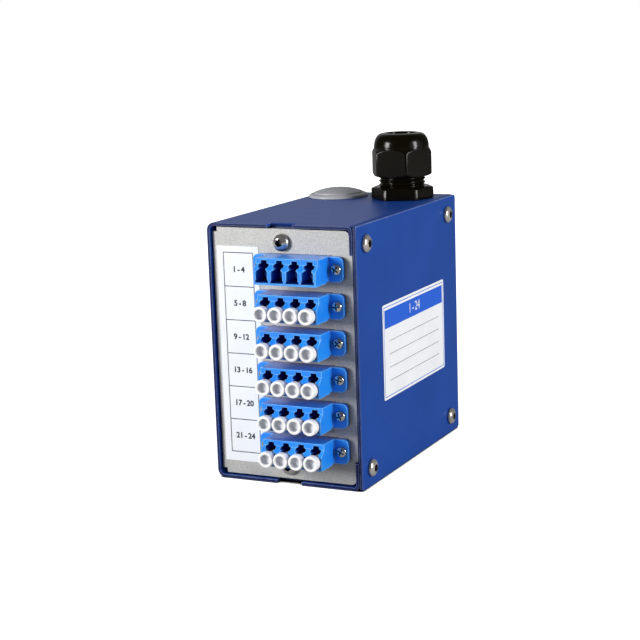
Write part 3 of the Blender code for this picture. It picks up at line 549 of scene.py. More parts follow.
# Bright steel with a fine, slightly uneven surface and painted shade in its recesses
def makeSteel(name, color, roughness, metallic):
    steel = steelGrain
    material, tree, shader = startMaterial(name, Metallic=metallic)
    grain = addGrain(tree, *steel["grain"])
    darker = tone(*(value * steel["shade"] for value in color))
    base = cloudTones(tree, grain, darker, tone(*color))
    # painted shade in the socket and cross recess
    deep = hollowMask(tree, steel["hollowReach"], steel["hollowSpan"])
    base = blendColor(tree, deep, base, steel["hollow"])
    bounced = addNode(tree, "ShaderNodeLightPath").outputs["Is Diffuse Ray"]
    polish = speckled(tree, grain, roughness)
    dulled = mathNode(tree, "MAXIMUM", polish, bounced)     # no glints on the sheet beside it
    setSurface(tree, shader, base, dulled, grain["Height"], steel["bump"])
    return material


inkGrain = (5000, 400)


def makeInk(name, color, shade=0.9):
    material, tree, shader = startMaterial(name, Roughness=0.5)
    grain = addGrain(tree, *inkGrain)
    darker = tone(*(value * shade for value in color))
    base = blendColor(tree, grain["Speckle"], tone(*color), darker)
    feed(tree, shader, {"Base Color": base})
    return material


finish = {
    "blue": makePowderCoat(),
    "zinc": makeZinc(),
    "adapter": makeAdapterPlastic(),
    "cap": makePlastic(
        # painted shade inside the cap's bore
        "whitePlastic", (252, 252, 251), (249, 249, 249), (0.28, 0.4), hollow=(202, 206, 217)
    ),
    "gland": makePlastic(
        "blackPolyamide", (14, 11, 3), (10, 8, 2), (0.14, 0.20), bump=0.000006,
        Specular_IOR_Level=0.2,
    ),
    "clip": makePlastic(
        "clipPolyamide", (38, 38, 40), (30, 30, 32), (0.42, 0.55), bump=0.00002, scale=1500,
        dust=0.05,
    ),
    "rubber": makePlastic(
        "sealRubber", (26, 26, 27), (20, 20, 21), (0.6, 0.75), bump=0.00002, scale=1800
    ),
    "plug": makePlastic(
        "greyPlastic", (170, 172, 177), (162, 164, 170), (0.34, 0.42), scale=2400,
        Specular_IOR_Level=0.35,
    ),
    "tray": makePlastic("trayPlastic", (214, 216, 218), (204, 206, 209), (0.4, 0.52)),
    "paper": makePlastic(
        "labelFilm", (246, 248, 250), (241, 243, 246), (0.42, 0.52), bump=0.000006, scale=3600
    ),
    # a lighter copy of the stainless steel: painted light for the screws on the side cover
    "litSteel": makeSteel("litStainless", (252, 246, 236), (0.12, 0.20), 0.8),
    "steel": makeSteel("stainlessSteel", (240, 236, 230), (0.14, 0.22), 0.9),
    "wire": makeSteel("springSteel", (150, 150, 154), (0.25, 0.38), 1.0),
    "ink": makeInk("blackInk", (18, 18, 22)),
    "greyInk": makeInk("greyInk", (64, 66, 74)),
    "blueInk": makeInk("blueInk", (16, 98, 226)),
    "whiteInk": makeInk("whiteInk", (246, 247, 250)),
}
print("finishes made")


sheetEdge = {"housing": 0.00042, "cover": 0.00034, "plate": 0.00022}
plateShape = {
    "corner": 0.0018, "cornerSteps": 6,
    "solidGap": 0.0003, "seenGap": 0.00006,     # above each adapter
    "near": 2e-5, "atEdge": 1e-5, "mostly": 0.9,
}


# Round the plate's two corners on the cover's side and bring its openings close to the adapters
def shapePlate(form):
    shape = plateShape
    for row in rows:
        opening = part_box(f"adapter_row_{row}")[1].z + shape["solidGap"]
        for vert in form.verts:
            if abs(vert.co.z - opening) < shape["near"]:
                vert.co.z += shape["seenGap"] - shape["solidGap"]
    top = max(vert.co.z for vert in form.verts)
    base = min(vert.co.z for vert in form.verts)
    found = []
    for edge in form.edges:
        first, last = (vert.co for vert in edge.verts)
        through = abs(first.y - last.y) > shape["mostly"] * edge.calc_length()
        atEnd = min(abs(first.z - top), abs(first.z - base)) < shape["atEdge"]
        if through and atEnd and first.x > 0:
            found.append(edge)
    width, steps = shape["corner"], shape["cornerSteps"]
    bmesh.ops.bevel(form, geom=found, offset=width, segments=steps, profile=0.5, affect="EDGES")


dress("housing_shell", "housingSheet", "box", "blue_powder_coat", "blue", sheetEdge["housing"])
dress("side_cover", "coverSheet", "box", "blue_powder_coat", "blue", sheetEdge["cover"])
dress(
    "front_plate", "frontSheet", "box", "zinc_plate", "zinc", sheetEdge["plate"],
    reshape=shapePlate,
)
print("sheet parts made")


socketScrew = {
    "head": 0.00335, "height": 0.0026, "lowHeight": 0.0019,
    "domeStart": 0.0004, "domeAngles": (6, 68), "domeSteps": 8, "domeWidth": 1.006, "crown": 0.96,
    "socket": 0.0016, "depth": 0.7,        # as a share of the head's height
    "shank": 0.0015, "length": 0.0058, "tip": 0.0003, "sides": 40,
}
crossScrew = {
    "head": 0.002, "height": 0.0011,
    "domeStart": 0.0003, "domeAngles": (8, 84), "domeSteps": 7, "domeCurve": 0.8,
    "slot": 0.0006, "reach": 0.0014, "depth": 0.0008,
    "shank": 0.001, "length": 0.0055, "sides": 32,
}
headGap = 0.0001        # under each head
headEdge = 0.0001
cutterHeight = 0.003
screwTurns = {
    "cover": 17, "top": 12, "bottom": 40, "clip": 25, "ear": 20, "earRow": 37, "earSide": 90,
}
screwAngle = 38         # degrees; edges sharper than this stay crisp
adapterGap = 0.0003
earThickness = 0.002


# Cut one closed form from another and hand back the result as a mesh
def cutWith(form, toolForm):
    part = link("part", toMesh("part", form))
    tool = link("tool", toMesh("tool", toolForm))
    cut = {"operation": "DIFFERENCE", "object": tool}
    assign(part.modifiers.new("cut", "BOOLEAN"), cut)
    graph = bpy.context.evaluated_depsgraph_get()
    result = bpy.data.meshes.new_from_object(part.evaluated_get(graph))
    bpy.data.objects.remove(part)
    bpy.data.objects.remove(tool)
    return result


# The angles of a head's dome, in even steps
def domeSweep(size):
    start, end = size["domeAngles"]
    return [math.radians(start + (end - start) * share) for share in shares(size["domeSteps"])]


def headFoot(size):
    head = size["head"]
    return [(size["shank"], headGap), (head - headEdge, headGap), (head, headGap + headEdge)]


def socketScrewForm(height):
    size = socketScrew
    top = headGap + height
    start = headGap + size["domeStart"]
    rise = (height - size["domeStart"]) / math.sin(math.radians(size["domeAngles"][1]))
    dome = [
        (size["head"] * math.cos(angle) * size["domeWidth"], start + rise * math.sin(angle))
        for angle in domeSweep(size)
    ]
    foot = -size["length"]
    profile = [(0, foot), (size["shank"] - size["tip"], foot), (size["shank"], size["tip"] + foot)]
    profile += headFoot(size) + dome + [(dome[-1][0] * size["crown"], top), (0, top)]
    floor = top - height * size["depth"]
    hexagon = [polar(size["socket"], math.tau * step / 6, floor) for step in range(6)]
    return cutWith(revolve(profile, size["sides"]), prism(hexagon, (0, 0, cutterHeight)))


def crossScrewForm():
    size = crossScrew
    top = headGap + size["height"]
    start = headGap + size["domeStart"]
    rise = size["height"] - size["domeStart"]
    dome = [
        (size["head"] * math.cos(angle) ** size["domeCurve"], start + rise * math.sin(angle))
        for angle in domeSweep(size)
    ]
    profile = [(0, -size["length"]), (size["shank"], -size["length"])]
    profile += headFoot(size) + dome + [(0, top)]
    w, r = size["slot"] / 2, size["reach"]
    arm = [(r, -w), (r, w), (w, w)]
    outline = arm + [(-y, x) for x, y in arm] + [(-x, -y) for x, y in arm]
    outline += [(y, -x) for x, y in arm]
    cross = [(x, y, top - size["depth"]) for x, y in outline]
    return cutWith(revolve(profile, size["sides"]), prism(cross, (0, 0, cutterHeight)))


# Put a copy of the screw with its head's underside at the seat plane of its node
def placeScrew(name, mesh, node, direction, seat, spin, material):
    axis = Vector(direction)
    spot = middleOf(node)
    index = max(range(3), key=lambda i: abs(axis[i]))
    spot[index] = seat
    copy = mesh.copy()
    spun = turnFromUp(direction) @ Matrix.Rotation(math.radians(spin), 4, "Z")
    copy.transform(Matrix.Translation(spot) @ spun)
    smooth(copy, screwAngle)
    item = placeMesh(name, copy, finish[material])
    finishPiece(item, "box", "stainless_steel", node)


socketMesh = socketScrewForm(socketScrew["height"])
lowMesh = socketScrewForm(socketScrew["lowHeight"])
crossMesh = crossScrewForm()
toFront, toBack, toRight = (0, -1, 0), (0, 1, 0), (1, 0, 0)
for number in range(1, 5):
    name, node = f"coverScrew{number}", f"side_cover_screw_{number}"
    spin = screwTurns["cover"] * number
    placeScrew(name, lowMesh, node, toRight, coverFace, spin, "litSteel")
for word in ("top", "bottom"):
    name, node = f"plateScrew{word.title()}", f"front_plate_screw_{word}"
    placeScrew(name, socketMesh, node, toFront, plateFace, screwTurns[word], "steel")
for number in (1, 2):
    node = f"din_clip_screw_{number}"
    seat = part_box(node)[1].y - socketScrew["height"] - adapterGap
    spin = screwTurns["clip"] * number
    placeScrew(f"clipScrew{number}", socketMesh, node, toBack, seat, spin, "steel")
earFace = plateFace - adapterGap - earThickness
for row in rows:
    for side, word in enumerate(("left", "right")):
        spin = screwTurns["ear"] + screwTurns["earRow"] * row + screwTurns["earSide"] * side
        name, node = f"earScrew{row}{word.title()}", f"adapter_screw_{row}_{word}"
        placeScrew(name, crossMesh, node, toFront, earFace, spin, "steel")
print("screws made")


adapterEdge = {"width": 0.00013, "segments": 2, "sharpest": 40}
for row in rows:
    node = f"adapter_row_{row}"
    dress(node, f"adapterRow{row}", "box", "adapter_plastic", "adapter", **adapterEdge)

dustCap = {
    "radius": 0.003, "length": 0.0027, "bore": 0.00195, "boreDepth": 0.0022,
    "stem": 0.00202, "stemLength": 0.0058, "web": 0.0008, "sleeve": 0.00155,
    "edge": 0.0003, "sides": 48, "sharpAngle": 50,
}


def dustCapForm():
    size = dustCap
    radius, bore, stem, sleeve = (size[part] for part in ("radius", "bore", "stem", "sleeve"))
    front, end = size["length"], -size["stemLength"]
    web = front - size["boreDepth"]
    under = web - size["web"]
    profile = [
        (0, under), (sleeve, under), (sleeve, end), (stem, end), (stem, 0),
        (radius, 0), (radius, front), (bore, front), (bore, web), (0, web),
    ]
    form = revolve(rounded(profile, size["edge"]), size["sides"])
    bmesh.ops.transform(form, matrix=turnFromUp(toFront), verts=form.verts)
    return toMesh("dustCap", form)


capMesh = dustCapForm()
for row in rows[1:]:        # the ports of row 1 are open
    for port in ports:
        low, high, middle = extent(f"dust_cap_{row}_{port}")
        copy = capMesh.copy()
        copy.transform(Matrix.Translation((middle.x, low.y + dustCap["length"], middle.z)))
        smooth(copy, dustCap["sharpAngle"])
        cap = placeMesh(f"dustCap{row}{port}", copy, finish["cap"])
        finishPiece(cap, f"cap_{row}_{port}", "cap_plastic", f"dust_cap_{row}_{port}")
print("adapters and caps made")


gland = {
    "sides": 240,
    "lift": 0.0001, "across": 0.023, "corner": 0.01283, "turn": -12, "flange": 0.0048,
    "flangeOver": 0.0002, "foot": 0.0003,
    "chamfer": 0.0009, "chamferRise": 0.6, "chamferIn": (0.0004, 0.0008), "chamferSlim": 0.0001,
    "rim": ((0.0001, 0.0004), (0.0, 0.0007)),   # below the top and inside the flats
    "thread": 0.0096, "pitch": 0.0016, "groove": 0.0007, "grooveCurve": 0.8,
    "threadTop": 0.0178, "threadBelow": 0.008, "stepAbove": 0.00012, "stepBelow": 0.00015,
    "bore": 0.0062, "seat": 0.0088, "seatWall": 0.0011, "end": 0.0001, "shown": 0.0041,
}
domeNut = {
    "gap": 0.0003, "across": 0.0228, "corner": 0.01313, "height": 0.0115, "turn": 31,
    "footRadius": 0.0108, "footSlim": 0.0012,
    "chamferRadius": 0.011, "chamferOver": 0.0002, "chamfer": 0.0017, "chamferCurve": 1.2,
    "chamferLift": 0.0001,
    "shoulder": 0.0018, "shoulderCurve": 1.3, "shoulderSoftness": 0.0005,
    "radius": 0.0113, "dome": 0.0061, "domeStart": 0.0002, "domeAngle": 84,
    "domeCurve": (0.75, 0.95), "crown": 0.0009, "opening": 0.006, "lip": 0.0005,
    "wall": 0.0017, "insideAngle": 72, "insideCurve": 0.8, "insideDrop": 0.0002,
}
glandSeal = {
    "cable": 0.0048, "wall": 0.0014, "gap": 0.0003, "under": 0.0008, "round": 0.0004,
    "mouth": (0.0004, 0.001),
}
hexSoftness = 0.00015
ringSoftness = 0.0004
anyRadius = 0.02        # wider than each hexagon here
glandAngle = 40
locknutEdge = 0.0003


def softMin(first, second, softness):
    share = max(0.0, min(1.0, 0.5 + (second - first) / softness / 2))
    return second * (1 - share) + first * share - softness * share * (1 - share) / 2


# Radius of a hexagon whose corners are cut by a circle, blended softly
def hexRadius(across, corner, angle):
    fromFlat = (angle + math.pi / 6) % (math.pi / 3) - math.pi / 6
    return softMin(corner, across / 2 / math.cos(fromFlat), hexSoftness)


# A ring of points: round, or a hexagon no wider than the given radius
def ring(height, radius, hexagon=None, softness=ringSoftness):
    points = []
    for share in shares(gland["sides"])[:-1]:
        angle = math.tau * share
        reach = radius
        if hexagon:
            across, corner, turn = hexagon
            reach = softMin(radius, hexRadius(across, corner, angle - math.radians(turn)), softness)
        points.append(polar(reach, angle, height))
    return points


# Rings that dip with the thread's groove as it winds up
def threadRings(start, step, count):
    rings = []
    for level in range(count):
        height = start + step * level
        points = []
        for around in shares(gland["sides"])[:-1]:
            phase = (height / gland["pitch"] - around) % 1.0
            wave = 0.5 - 0.5 * math.cos(math.tau * phase)
            reach = gland["thread"] - gland["groove"] * wave ** gland["grooveCurve"]
            points.append(polar(reach, math.tau * around, height))
        rings.append(points)
    return rings


def glandObject(name, rings, material):
    form = skin(rings)
    middle = middleOf("gland_locknut")
    moveTo(form, (middle.x, middle.y, boxTop))
    return newObject(name, form, finish[material], glandAngle)


def makeGlandBody():
    size = gland
    low = size["lift"]
    high = low + size["flange"] + size["flangeOver"]
    foot, thread, groove = size["foot"], size["thread"], size["groove"]
    across, corner, turn = size["across"], size["corner"], size["turn"]
    start, step = -size["threadBelow"], size["stepBelow"]
    rings = [ring(start, size["bore"])] + threadRings(start, step, int(-start / step))
    rings += [ring(low, thread), ring(low, anyRadius, (across - 2 * foot, corner - foot, turn))]
    rings.append(ring(low + foot, anyRadius, (across, corner, turn)))
    straight, curved = size["chamferIn"]
    for share in shares(4):
        height = high - size["chamfer"] * (1 - share * size["chamferRise"])
        radius = corner - straight * share - curved * share ** 2
        rings.append(ring(height, radius, (across - size["chamferSlim"] * share, corner, turn)))
    rings += [ring(high - down, across / 2 - inside) for down, inside in size["rim"]]
    rings.append(ring(high, thread - groove))
    step = size["stepAbove"]
    rings += threadRings(high + step, step, int((size["threadTop"] - high) / step))
    end = size["threadTop"] + size["end"]
    inner = thread - size["seatWall"]
    rings += [ring(end, thread - groove), ring(end, inner)]
    rings += [ring(size["seat"], inner), ring(size["seat"], size["bore"])]
    body = glandObject("glandBody", rings, "gland")
    finishPiece(body, "box", "black_polyamide", "gland_body")


def makeDomeNut():
    size = domeNut
    across, corner, turn = size["across"], size["corner"], size["turn"]
    radius, opening, lip = size["radius"], size["opening"], size["lip"]
    flats, slim = (across, corner, turn), (across - size["footSlim"], corner, turn)
    bore = gland["thread"] + size["gap"]
    low = size["gap"] + gland["flange"] + gland["shown"]
    high = low + size["height"]
    top = high + size["dome"]
    rings = [ring(low, bore), ring(low, size["footRadius"], slim)]
    widen = corner + size["chamferOver"] - size["chamferRadius"]
    for share in shares(6):
        height = low + size["chamfer"] * share ** size["chamferCurve"] + size["chamferLift"]
        reach = size["chamferRadius"] + widen * math.sin(share * math.pi / 2)
        rings.append(ring(height, reach, flats))
    rings.append(ring(high - size["shoulder"], anyRadius, flats))
    for share in shares(8)[1:]:
        reach = corner + (radius - corner) * share ** size["shoulderCurve"]
        height = high - size["shoulder"] * (1 - share)
        rings.append(ring(height, reach, flats, size["shoulderSoftness"]))
    mouth = opening + size["crown"]
    widthCurve, heightCurve = size["domeCurve"]
    for share in shares(14):
        angle = math.radians(size["domeAngle"] * share)
        width = mouth + (radius - mouth) * math.cos(angle) ** widthCurve
        rise = (size["dome"] - size["domeStart"]) * math.sin(angle) ** heightCurve
        rings.append(ring(high + size["domeStart"] + rise, width))
    for share in shares(4):
        angle = math.radians(90 * share)
        height = top - lip * (1 - math.cos(angle))
        rings.append(ring(height, opening + lip * (1 - math.sin(angle))))
    rings.append(ring(top - size["wall"], opening))
    inside = radius - size["wall"] - opening
    for share in shares(5):
        angle = math.radians(size["insideAngle"] * (1 - share))
        width = opening + inside * math.cos(angle) ** size["insideCurve"]
        rise = (size["dome"] - size["wall"]) * math.sin(angle)
        rings.append(ring(high + rise - size["insideDrop"], width))
    rings.append(ring(high - size["gap"], bore))
    nut = glandObject("glandDomeNut", rings, "gland")
    finishPiece(nut, "gland_nut", "black_polyamide", "gland_dome_nut")


def makeGlandSeal():
    size, gap = glandSeal, glandSeal["gap"]
    seat = gland["seat"] + gap
    outer = gland["thread"] - gland["seatWall"] - gap
    nutTop = domeNut["gap"] + gland["flange"] + gland["shown"] + domeNut["height"] + domeNut["dome"]
    top = nutTop - domeNut["wall"] - size["under"]
    cable, (wide, deep) = size["cable"], size["mouth"]
    profile = [
        (cable, seat), (outer, seat), (outer, gland["threadTop"] + gap),
        (cable + size["wall"], top), (cable + wide, top), (cable, top - deep),
    ]
    rings = [ring(height, radius) for radius, height in rounded(profile, size["round"])]
    seal = glandObject("glandSeal", rings, "rubber")
    finishPiece(seal, "gland_insert", "seal_rubber", "gland_seal")


makeGlandBody()
makeDomeNut()
makeGlandSeal()
dress("gland_locknut", "glandLocknut", "box", "black_polyamide", "gland", locknutEdge)
print("gland made")


blankingPlug = {
    "lift": 0.0001, "radius": 0.0124, "rimHeight": 0.0009, "rimRound": 0.0002, "rimShare": 0.6,
    "slope": (0.0007, 0.0003),                      # inside the rim and above it
    "shoulder": 0.0102, "shoulderHeight": 0.0019,
    "groove": 0.0004, "grooveSides": (0.0001, 0.0005),
    "dome": 0.0037, "crown": 2.2, "domeSteps": 11,
    "stem": 0.0098, "stemLength": 0.0048, "wall": 0.0012, "underside": 0.0002,
    "bead": 0.0007, "beadStart": 0.0015, "beadMiddle": 0.0022,
    "sides": 72, "sharpAngle": 30,
}


def makeBlankingPlug():
    size = blankingPlug
    low = size["lift"]
    rim = low + size["rimHeight"]
    shoulder = low + size["shoulderHeight"]
    rise = size["dome"] - size["shoulderHeight"]
    profile = [(0, low + size["dome"])]
    for share in shares(size["domeSteps"])[1:]:
        height = shoulder + rise * (1 - share ** size["crown"])
        profile.append((size["shoulder"] * share, height))
    for side in size["grooveSides"]:
        profile.append((size["shoulder"] + side, shoulder - size["groove"]))
    slopeIn, slopeUp = size["slope"]
    radius, stem, end = size["radius"], size["stem"], -size["stemLength"]
    inner = stem - size["wall"]
    profile += [
        (radius - slopeIn, rim + slopeUp), (radius - size["rimRound"], rim),
        (radius, low + size["rimHeight"] * size["rimShare"]), (radius, low), (stem, low),
        (stem, -size["beadStart"]), (stem + size["bead"], -size["beadMiddle"]),
        (stem, end), (inner, end), (inner, low + size["underside"]),
        (0, low + size["dome"] - size["wall"]),
    ]
    form = revolve(profile, size["sides"])
    middle = middleOf("blanking_plug")
    moveTo(form, (middle.x, middle.y, boxTop))
    plug = newObject("blankingPlug", form, finish["plug"], size["sharpAngle"])
    finishPiece(plug, "box", "grey_plastic", "blanking_plug")


makeBlankingPlug()
print("plug made")


labelGap = 0.00003
printLift = 0.00002             # how far print stands off its label
textSheet = 0.00001
lettering = {
    "align_x": "CENTER", "align_y": "CENTER", "extrude": textSheet, "bevel_resolution": 0,
    "space_word": 0.7,
}
portStrip = {
    "thickness": 0.0001, "corner": 0.0003,
    "frameLeft": 0.0028, "frameWidth": 0.0126, "frameHeight": 0.078, "frameUp": 0.0006,
    "line": 0.00034, "cells": 6, "textSize": 0.003, "textWeight": 0.00011,
}
sideSticker = {
    "thickness": 0.0001, "corner": 0.0008, "border": 0.0011, "line": 0.00028,
    "bandHeight": 0.0072, "bandTop": 0.0022, "bandSide": 0.0018,
    "textSize": 0.0052, "textWeight": 0.00005,
    "rules": 4, "ruleSpacing": 0.0052, "ruleHeight": 0.0002, "ruleSide": 0.006,
}
quarter = math.pi / 2


# Stick a sheet on the front, or turned on to the side cover
def stickOn(name, form, material, place, onCover=False):
    if onCover:
        turn = Matrix.Rotation(quarter, 3, "Z")
        bmesh.ops.rotate(form, verts=form.verts, cent=(0, 0, 0), matrix=turn)
    moveTo(form, place)
    return newObject(name, form, finish[material])


def printSlab(name, form, ink, place, onCover=False):
    finishPiece(stickOn(name, form, ink, place, onCover), "box", "label_film")


# Text as a thin flat mesh, centred on its place and thickened by its weight
def printText(name, text, size, place, ink, weight, onCover=False):
    curve = bpy.data.curves.new(name, "FONT")
    curve.body, curve.size = text, size
    curve.bevel_depth = weight      # thickens the strokes, then the whole is pressed flat
    assign(curve, lettering)
    source = link(name + "Source", curve)
    graph = bpy.context.evaluated_depsgraph_get()
    mesh = bpy.data.meshes.new_from_object(source.evaluated_get(graph))
    bpy.data.objects.remove(source)
    turn = Matrix.Rotation(quarter, 4, "X")
    if onCover:
        turn = Matrix.Rotation(quarter, 4, "Z") @ turn
    pressed = Matrix.Diagonal((1, 1, printLift / (weight + textSheet), 1))
    mesh.transform(Matrix.Translation(place) @ turn @ pressed)
    mesh.materials.clear()
    finishPiece(placeMesh(name, mesh, finish[ink]), "box", "label_film")


def makePortStrip():
    size = portStrip
    low, high, middle = extent("port_label")
    face = plateFace - labelGap
    front = face - size["thickness"]
    sheet = slab(high.x - low.x, high.z - low.z, size["thickness"], size["corner"])
    strip = stickOn("portStrip", sheet, "paper", (middle.x, face, middle.z))
    finishPiece(strip, "box", "label_film", "port_label")
    width, height, line = size["frameWidth"], size["frameHeight"], size["line"]
    left = low.x + size["frameLeft"]
    centreX = left + width / 2
    cell = height / size["cells"]
    base = middle.z + size["frameUp"] - height / 2
    for row in range(size["cells"] + 1):
        place = (centreX, front, base + row * cell)
        printSlab(f"stripLine{row}", slab(width, line, printLift), "greyInk", place)
    for side, x in (("Left", left), ("Right", left + width)):
        tall = slab(line, height + line, printLift)
        printSlab(f"stripSide{side}", tall, "greyInk", (x, front, base + height / 2))
    for row in range(size["cells"]):
        first = row * len(ports) + 1
        text = f"{first} - {first + len(ports) - 1}"
        place = (centreX, front - printLift, base + height - (row + 0.5) * cell)
        printText(f"stripText{row + 1}", text, size["textSize"], place, "ink", size["textWeight"])


def makeSideSticker():
    size = sideSticker
    low, high, middle = extent("side_label")
    face = coverFace + labelGap
    front = face + size["thickness"]
    length, height = high.y - low.y, high.z - low.z
    sheet = slab(length, height, size["thickness"], size["corner"])
    sticker = stickOn("sideSticker", sheet, "paper", (face, middle.y, middle.z), True)
    finishPiece(sticker, "box", "label_film", "side_label")
    line = size["line"]
    wide, tall = length - 2 * size["border"], height - 2 * size["border"]
    for name, w, h, y, z in (
        ("Top", wide, line, 0, tall / 2),
        ("Bottom", wide, line, 0, -tall / 2),
        ("Front", line, tall, -wide / 2, 0),
        ("Back", line, tall, wide / 2, 0),
    ):
        place = (front, middle.y + y, middle.z + z)
        printSlab(f"stickerEdge{name}", slab(w, h, printLift), "blueInk", place, True)
    bandZ = high.z - size["bandTop"] - size["bandHeight"] / 2
    band = slab(length - 2 * size["bandSide"], size["bandHeight"], printLift)
    printSlab("stickerBand", band, "blueInk", (front, middle.y, bandZ), True)
    place = (front + printLift, middle.y, bandZ)
    weight = size["textWeight"]
    printText("stickerNumbers", "1 - 24", size["textSize"], place, "whiteInk", weight, True)
    for row in range(size["rules"]):
        z = bandZ - size["bandHeight"] / 2 - size["ruleSpacing"] * (row + 1)
        ruled = slab(length - 2 * size["ruleSide"], size["ruleHeight"], printLift)
        printSlab(f"stickerRule{row + 1}", ruled, "greyInk", (front, middle.y, z), True)


makePortStrip()
makeSideSticker()
print("labels made")


clipSpring = {
    "radius": 0.0016, "wire": 0.00027, "turns": 5, "sides": 10, "perTurn": 24, "travel": 0.0045,
    "sharpAngle": 60,
}
hiddenEdge = {"clip": 0.0004, "latch": 0.0002, "tray": 0.0002}


def makeClipSpring():
    size = clipSpring
    low, high, middle = extent("din_clip_spring")
    length = high.z - low.z
    wire = size["wire"]
    form = bmesh.new()
    rings = []
    for share in shares(size["turns"] * size["perTurn"]):
        height = low.z + wire + (length - 2 * wire) * share
        outward = Vector(polar(1, math.tau * size["turns"] * share, 0))
        loop = []
        for side in shares(size["sides"])[:-1]:
            reach = size["radius"] + wire * math.cos(math.tau * side)
            centre = Vector((0, middle.y, height + wire * math.sin(math.tau * side)))
            loop.append(form.verts.new(centre + outward * reach))
        rings.append(loop)
    for before, after in zip(rings, rings[1:]):
        bridge(form, before, after)
    form.faces.new(rings[0][::-1])
    form.faces.new(rings[-1])
    bmesh.ops.recalc_face_normals(form, faces=form.faces)
    spring = newObject("clipSpring", form, finish["wire"], size["sharpAngle"])
    finishPiece(spring, "box", "spring_steel", "din_clip_spring")
    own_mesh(spring)


dress(
    "din_clip_body", "railClip", "box", "clip_polyamide", "clip", hiddenEdge["clip"], segments=3
)
dress("din_clip_latch", "railLatch", "rail_latch", "zinc_plate", "zinc", hiddenEdge["latch"])
makeClipSpring()
dress("splice_tray", "spliceTray", "box", "tray_plastic", "tray", hiddenEdge["tray"])
print("clip and tray made")


studio = {
    "floorSize": 6.0, "floorDrop": 0.0002, "floorSeen": 0.5,
    "floorBounce": 0.30,        # what the object gets back from the floor
    "floorGlow": (1.0, 1.3),    # lifts the floor to white for the camera, near and far
    "glowReach": (0.12, 0.5),
    "floorMirror": 0.05,        # share of that white in what glossy pieces see of the floor
    # a painted contact shadow on the floor near the object
    "shadowReach": 0.004, "shadowSpan": (0.40, 0.58),
    "roomFill": 0.42,           # soft light from the sides of the room
    "roomAbove": 0.13, "upSpan": (0.15, 0.6),
    "roomBehind": 0.5,          # more of it from behind, for the back
    "behindSpan": (0.1, 0.8),
    "roomMirror": 0.05,         # the same room as glossy pieces see it
    "backdropLight": 0.375, "leftSpan": (0.15, -0.35),
    "sideWallLight": 0.45,      # a pale wall beyond the side cover
    "rightSpan": (0.80, 0.88),
}


# The direction of something seen from the object: 0 is the front, 90 the side cover
def towards(azimuth, elevation):
    a, e = math.radians(azimuth), math.radians(elevation)
    return Vector((math.sin(a) * math.cos(e), -math.cos(a) * math.cos(e), math.sin(e)))


def grey(value):
    return (value, value, value, 1)


# 1 for what the camera sees, also through something clear, and 1 for what glossy pieces see
def rayKinds(tree):
    paths = addNode(tree, "ShaderNodeLightPath").outputs
    seen = mathNode(tree, "MAXIMUM", paths["Is Camera Ray"], paths["Is Transmission Ray"])
    return seen, paths["Is Glossy Ray"]


def makeFloor():
    half = studio["floorSize"] / 2
    form = bmesh.new()
    corners = ((-half, -half, 0), (half, -half, 0), (half, half, 0), (-half, half, 0))
    form.faces.new([form.verts.new(corner) for corner in corners])
    material, tree, shader = startMaterial("paleFloor", Roughness=0.9, Specular_IOR_Level=0.0)
    seen, glossy = rayKinds(tree)
    place = {0: addNode(tree, "ShaderNodeTexCoord").outputs["Object"]}
    away = addNode(tree, "ShaderNodeVectorMath", place, operation="LENGTH").outputs["Value"]
    lift = mapRange(tree, away, studio["glowReach"], studio["floorGlow"])
    # painted contact shadow: darker floor colour and less glow near the object
    reach = {"Distance": studio["shadowReach"]}
    contact = addNode(tree, "ShaderNodeAmbientOcclusion", reach, samples=8).outputs["AO"]
    outsideShadow = mapRange(tree, contact, studio["shadowSpan"])
    share = mathNode(tree, "MAXIMUM", seen, multiply(tree, glossy, studio["floorMirror"]))
    shown = multiply(tree, share, multiply(tree, lift, outsideShadow))
    glow = addNode(tree, "ShaderNodeEmission", {"Strength": shown})
    seenTone = blendColor(tree, outsideShadow, grey(0.0), grey(studio["floorSeen"]))
    base = blendColor(tree, seen, grey(studio["floorBounce"]), seenTone)
    feed(tree, shader, {"Base Color": base})
    both = addNode(tree, "ShaderNodeAddShader", {0: shader.outputs[0], 1: glow.outputs[0]})
    feed(tree, tree.nodes["Material Output"], {"Surface": both.outputs[0]})
    floor = newObject("floor", form, material)
    floor.location.z = -studio["floorDrop"]


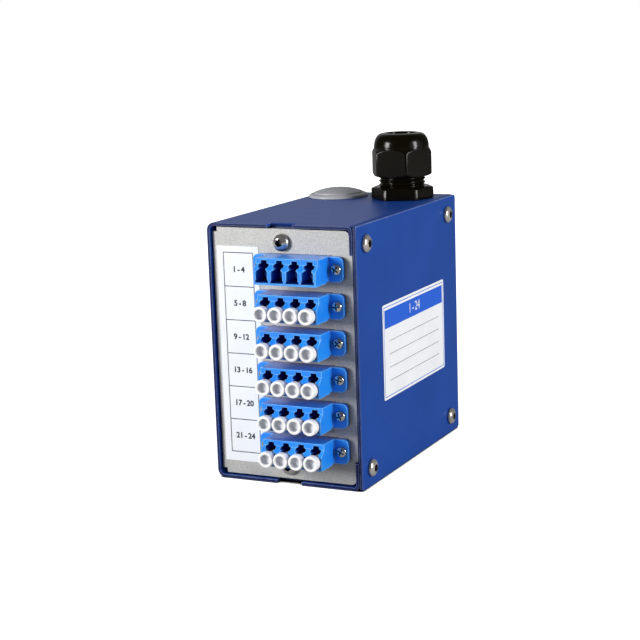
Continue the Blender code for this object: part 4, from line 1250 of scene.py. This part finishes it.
def makeRoom():
    world = bpy.data.worlds.new("studio")
    bpy.context.scene.world = world
    world.use_nodes = True
    tree = world.node_tree
    seen, glossy = rayKinds(tree)
    around = addNode(tree, "ShaderNodeTexCoord").outputs["Generated"]
    x, y, z = addNode(tree, "ShaderNodeSeparateXYZ", {0: around}).outputs
    behind = mapRange(tree, y, studio["behindSpan"])
    backdrop = mapRange(tree, x, studio["leftSpan"], (0.0, studio["backdropLight"]))
    sideWall = mapRange(tree, x, studio["rightSpan"], (0.0, studio["sideWallLight"]))
    walls = add(tree, multiply(tree, behind, backdrop), sideWall)
    mirrored = add(tree, walls, studio["roomMirror"])
    fill = mapRange(tree, z, studio["upSpan"], (studio["roomFill"], studio["roomAbove"]))
    spread = add(tree, fill, multiply(tree, behind, studio["roomBehind"]))
    dull = mathNode(tree, "SUBTRACT", 1.0, glossy)
    room = add(tree, multiply(tree, glossy, mirrored), multiply(tree, dull, spread))
    strength = mathNode(tree, "MAXIMUM", seen, room)
    feed(tree, tree.nodes["Background"], {"Color": grey(1), "Strength": strength})


lampTarget = Vector((0, 0, 0.06))
lampDistance = 1.1
lamps = {
    "keyLeft": {"azimuth": -40, "elevation": 15, "size": (0.34, 0.42), "power": 12},
    "keyRight": {"azimuth": 86, "elevation": 14, "size": (0.24, 0.50), "power": 8.8},
}


def makeLamps():
    for name, lamp in lamps.items():
        light = bpy.data.lights.new(name, "AREA")
        light.shape = "RECTANGLE"
        light.size, light.size_y = lamp["size"]
        light.energy = lamp["power"]
        item = link(name, light)
        away = towards(lamp["azimuth"], lamp["elevation"])
        item.location = lampTarget + away * lampDistance
        item.rotation_euler = (-away).to_track_quat("-Z", "Y").to_euler()


def makeCamera():
    azimuth, roll = math.radians(view["azimuth"]), math.radians(view["roll"])
    back = towards(view["azimuth"], view["elevation"])
    right = Vector((math.cos(azimuth), math.sin(azimuth), 0))
    up = back.cross(right)
    across = right * math.cos(roll) + up * math.sin(roll)
    upward = up * math.cos(roll) - right * math.sin(roll)
    camera = bpy.data.cameras.new("camera")
    camera.sensor_width = view["sensor"]
    camera.lens = view["lens"]
    camera.shift_x, camera.shift_y = view["shift"]
    item = link("camera", camera)
    place = Vector(view["target"]) + back * view["distance"]
    turn = Matrix((across, upward, back)).transposed().to_4x4()
    item.matrix_world = Matrix.Translation(place) @ turn
    bpy.context.scene.camera = item


makeFloor()
makeRoom()
makeLamps()
makeCamera()
bpy.context.scene.view_settings.view_transform = "Standard"
print("studio made")
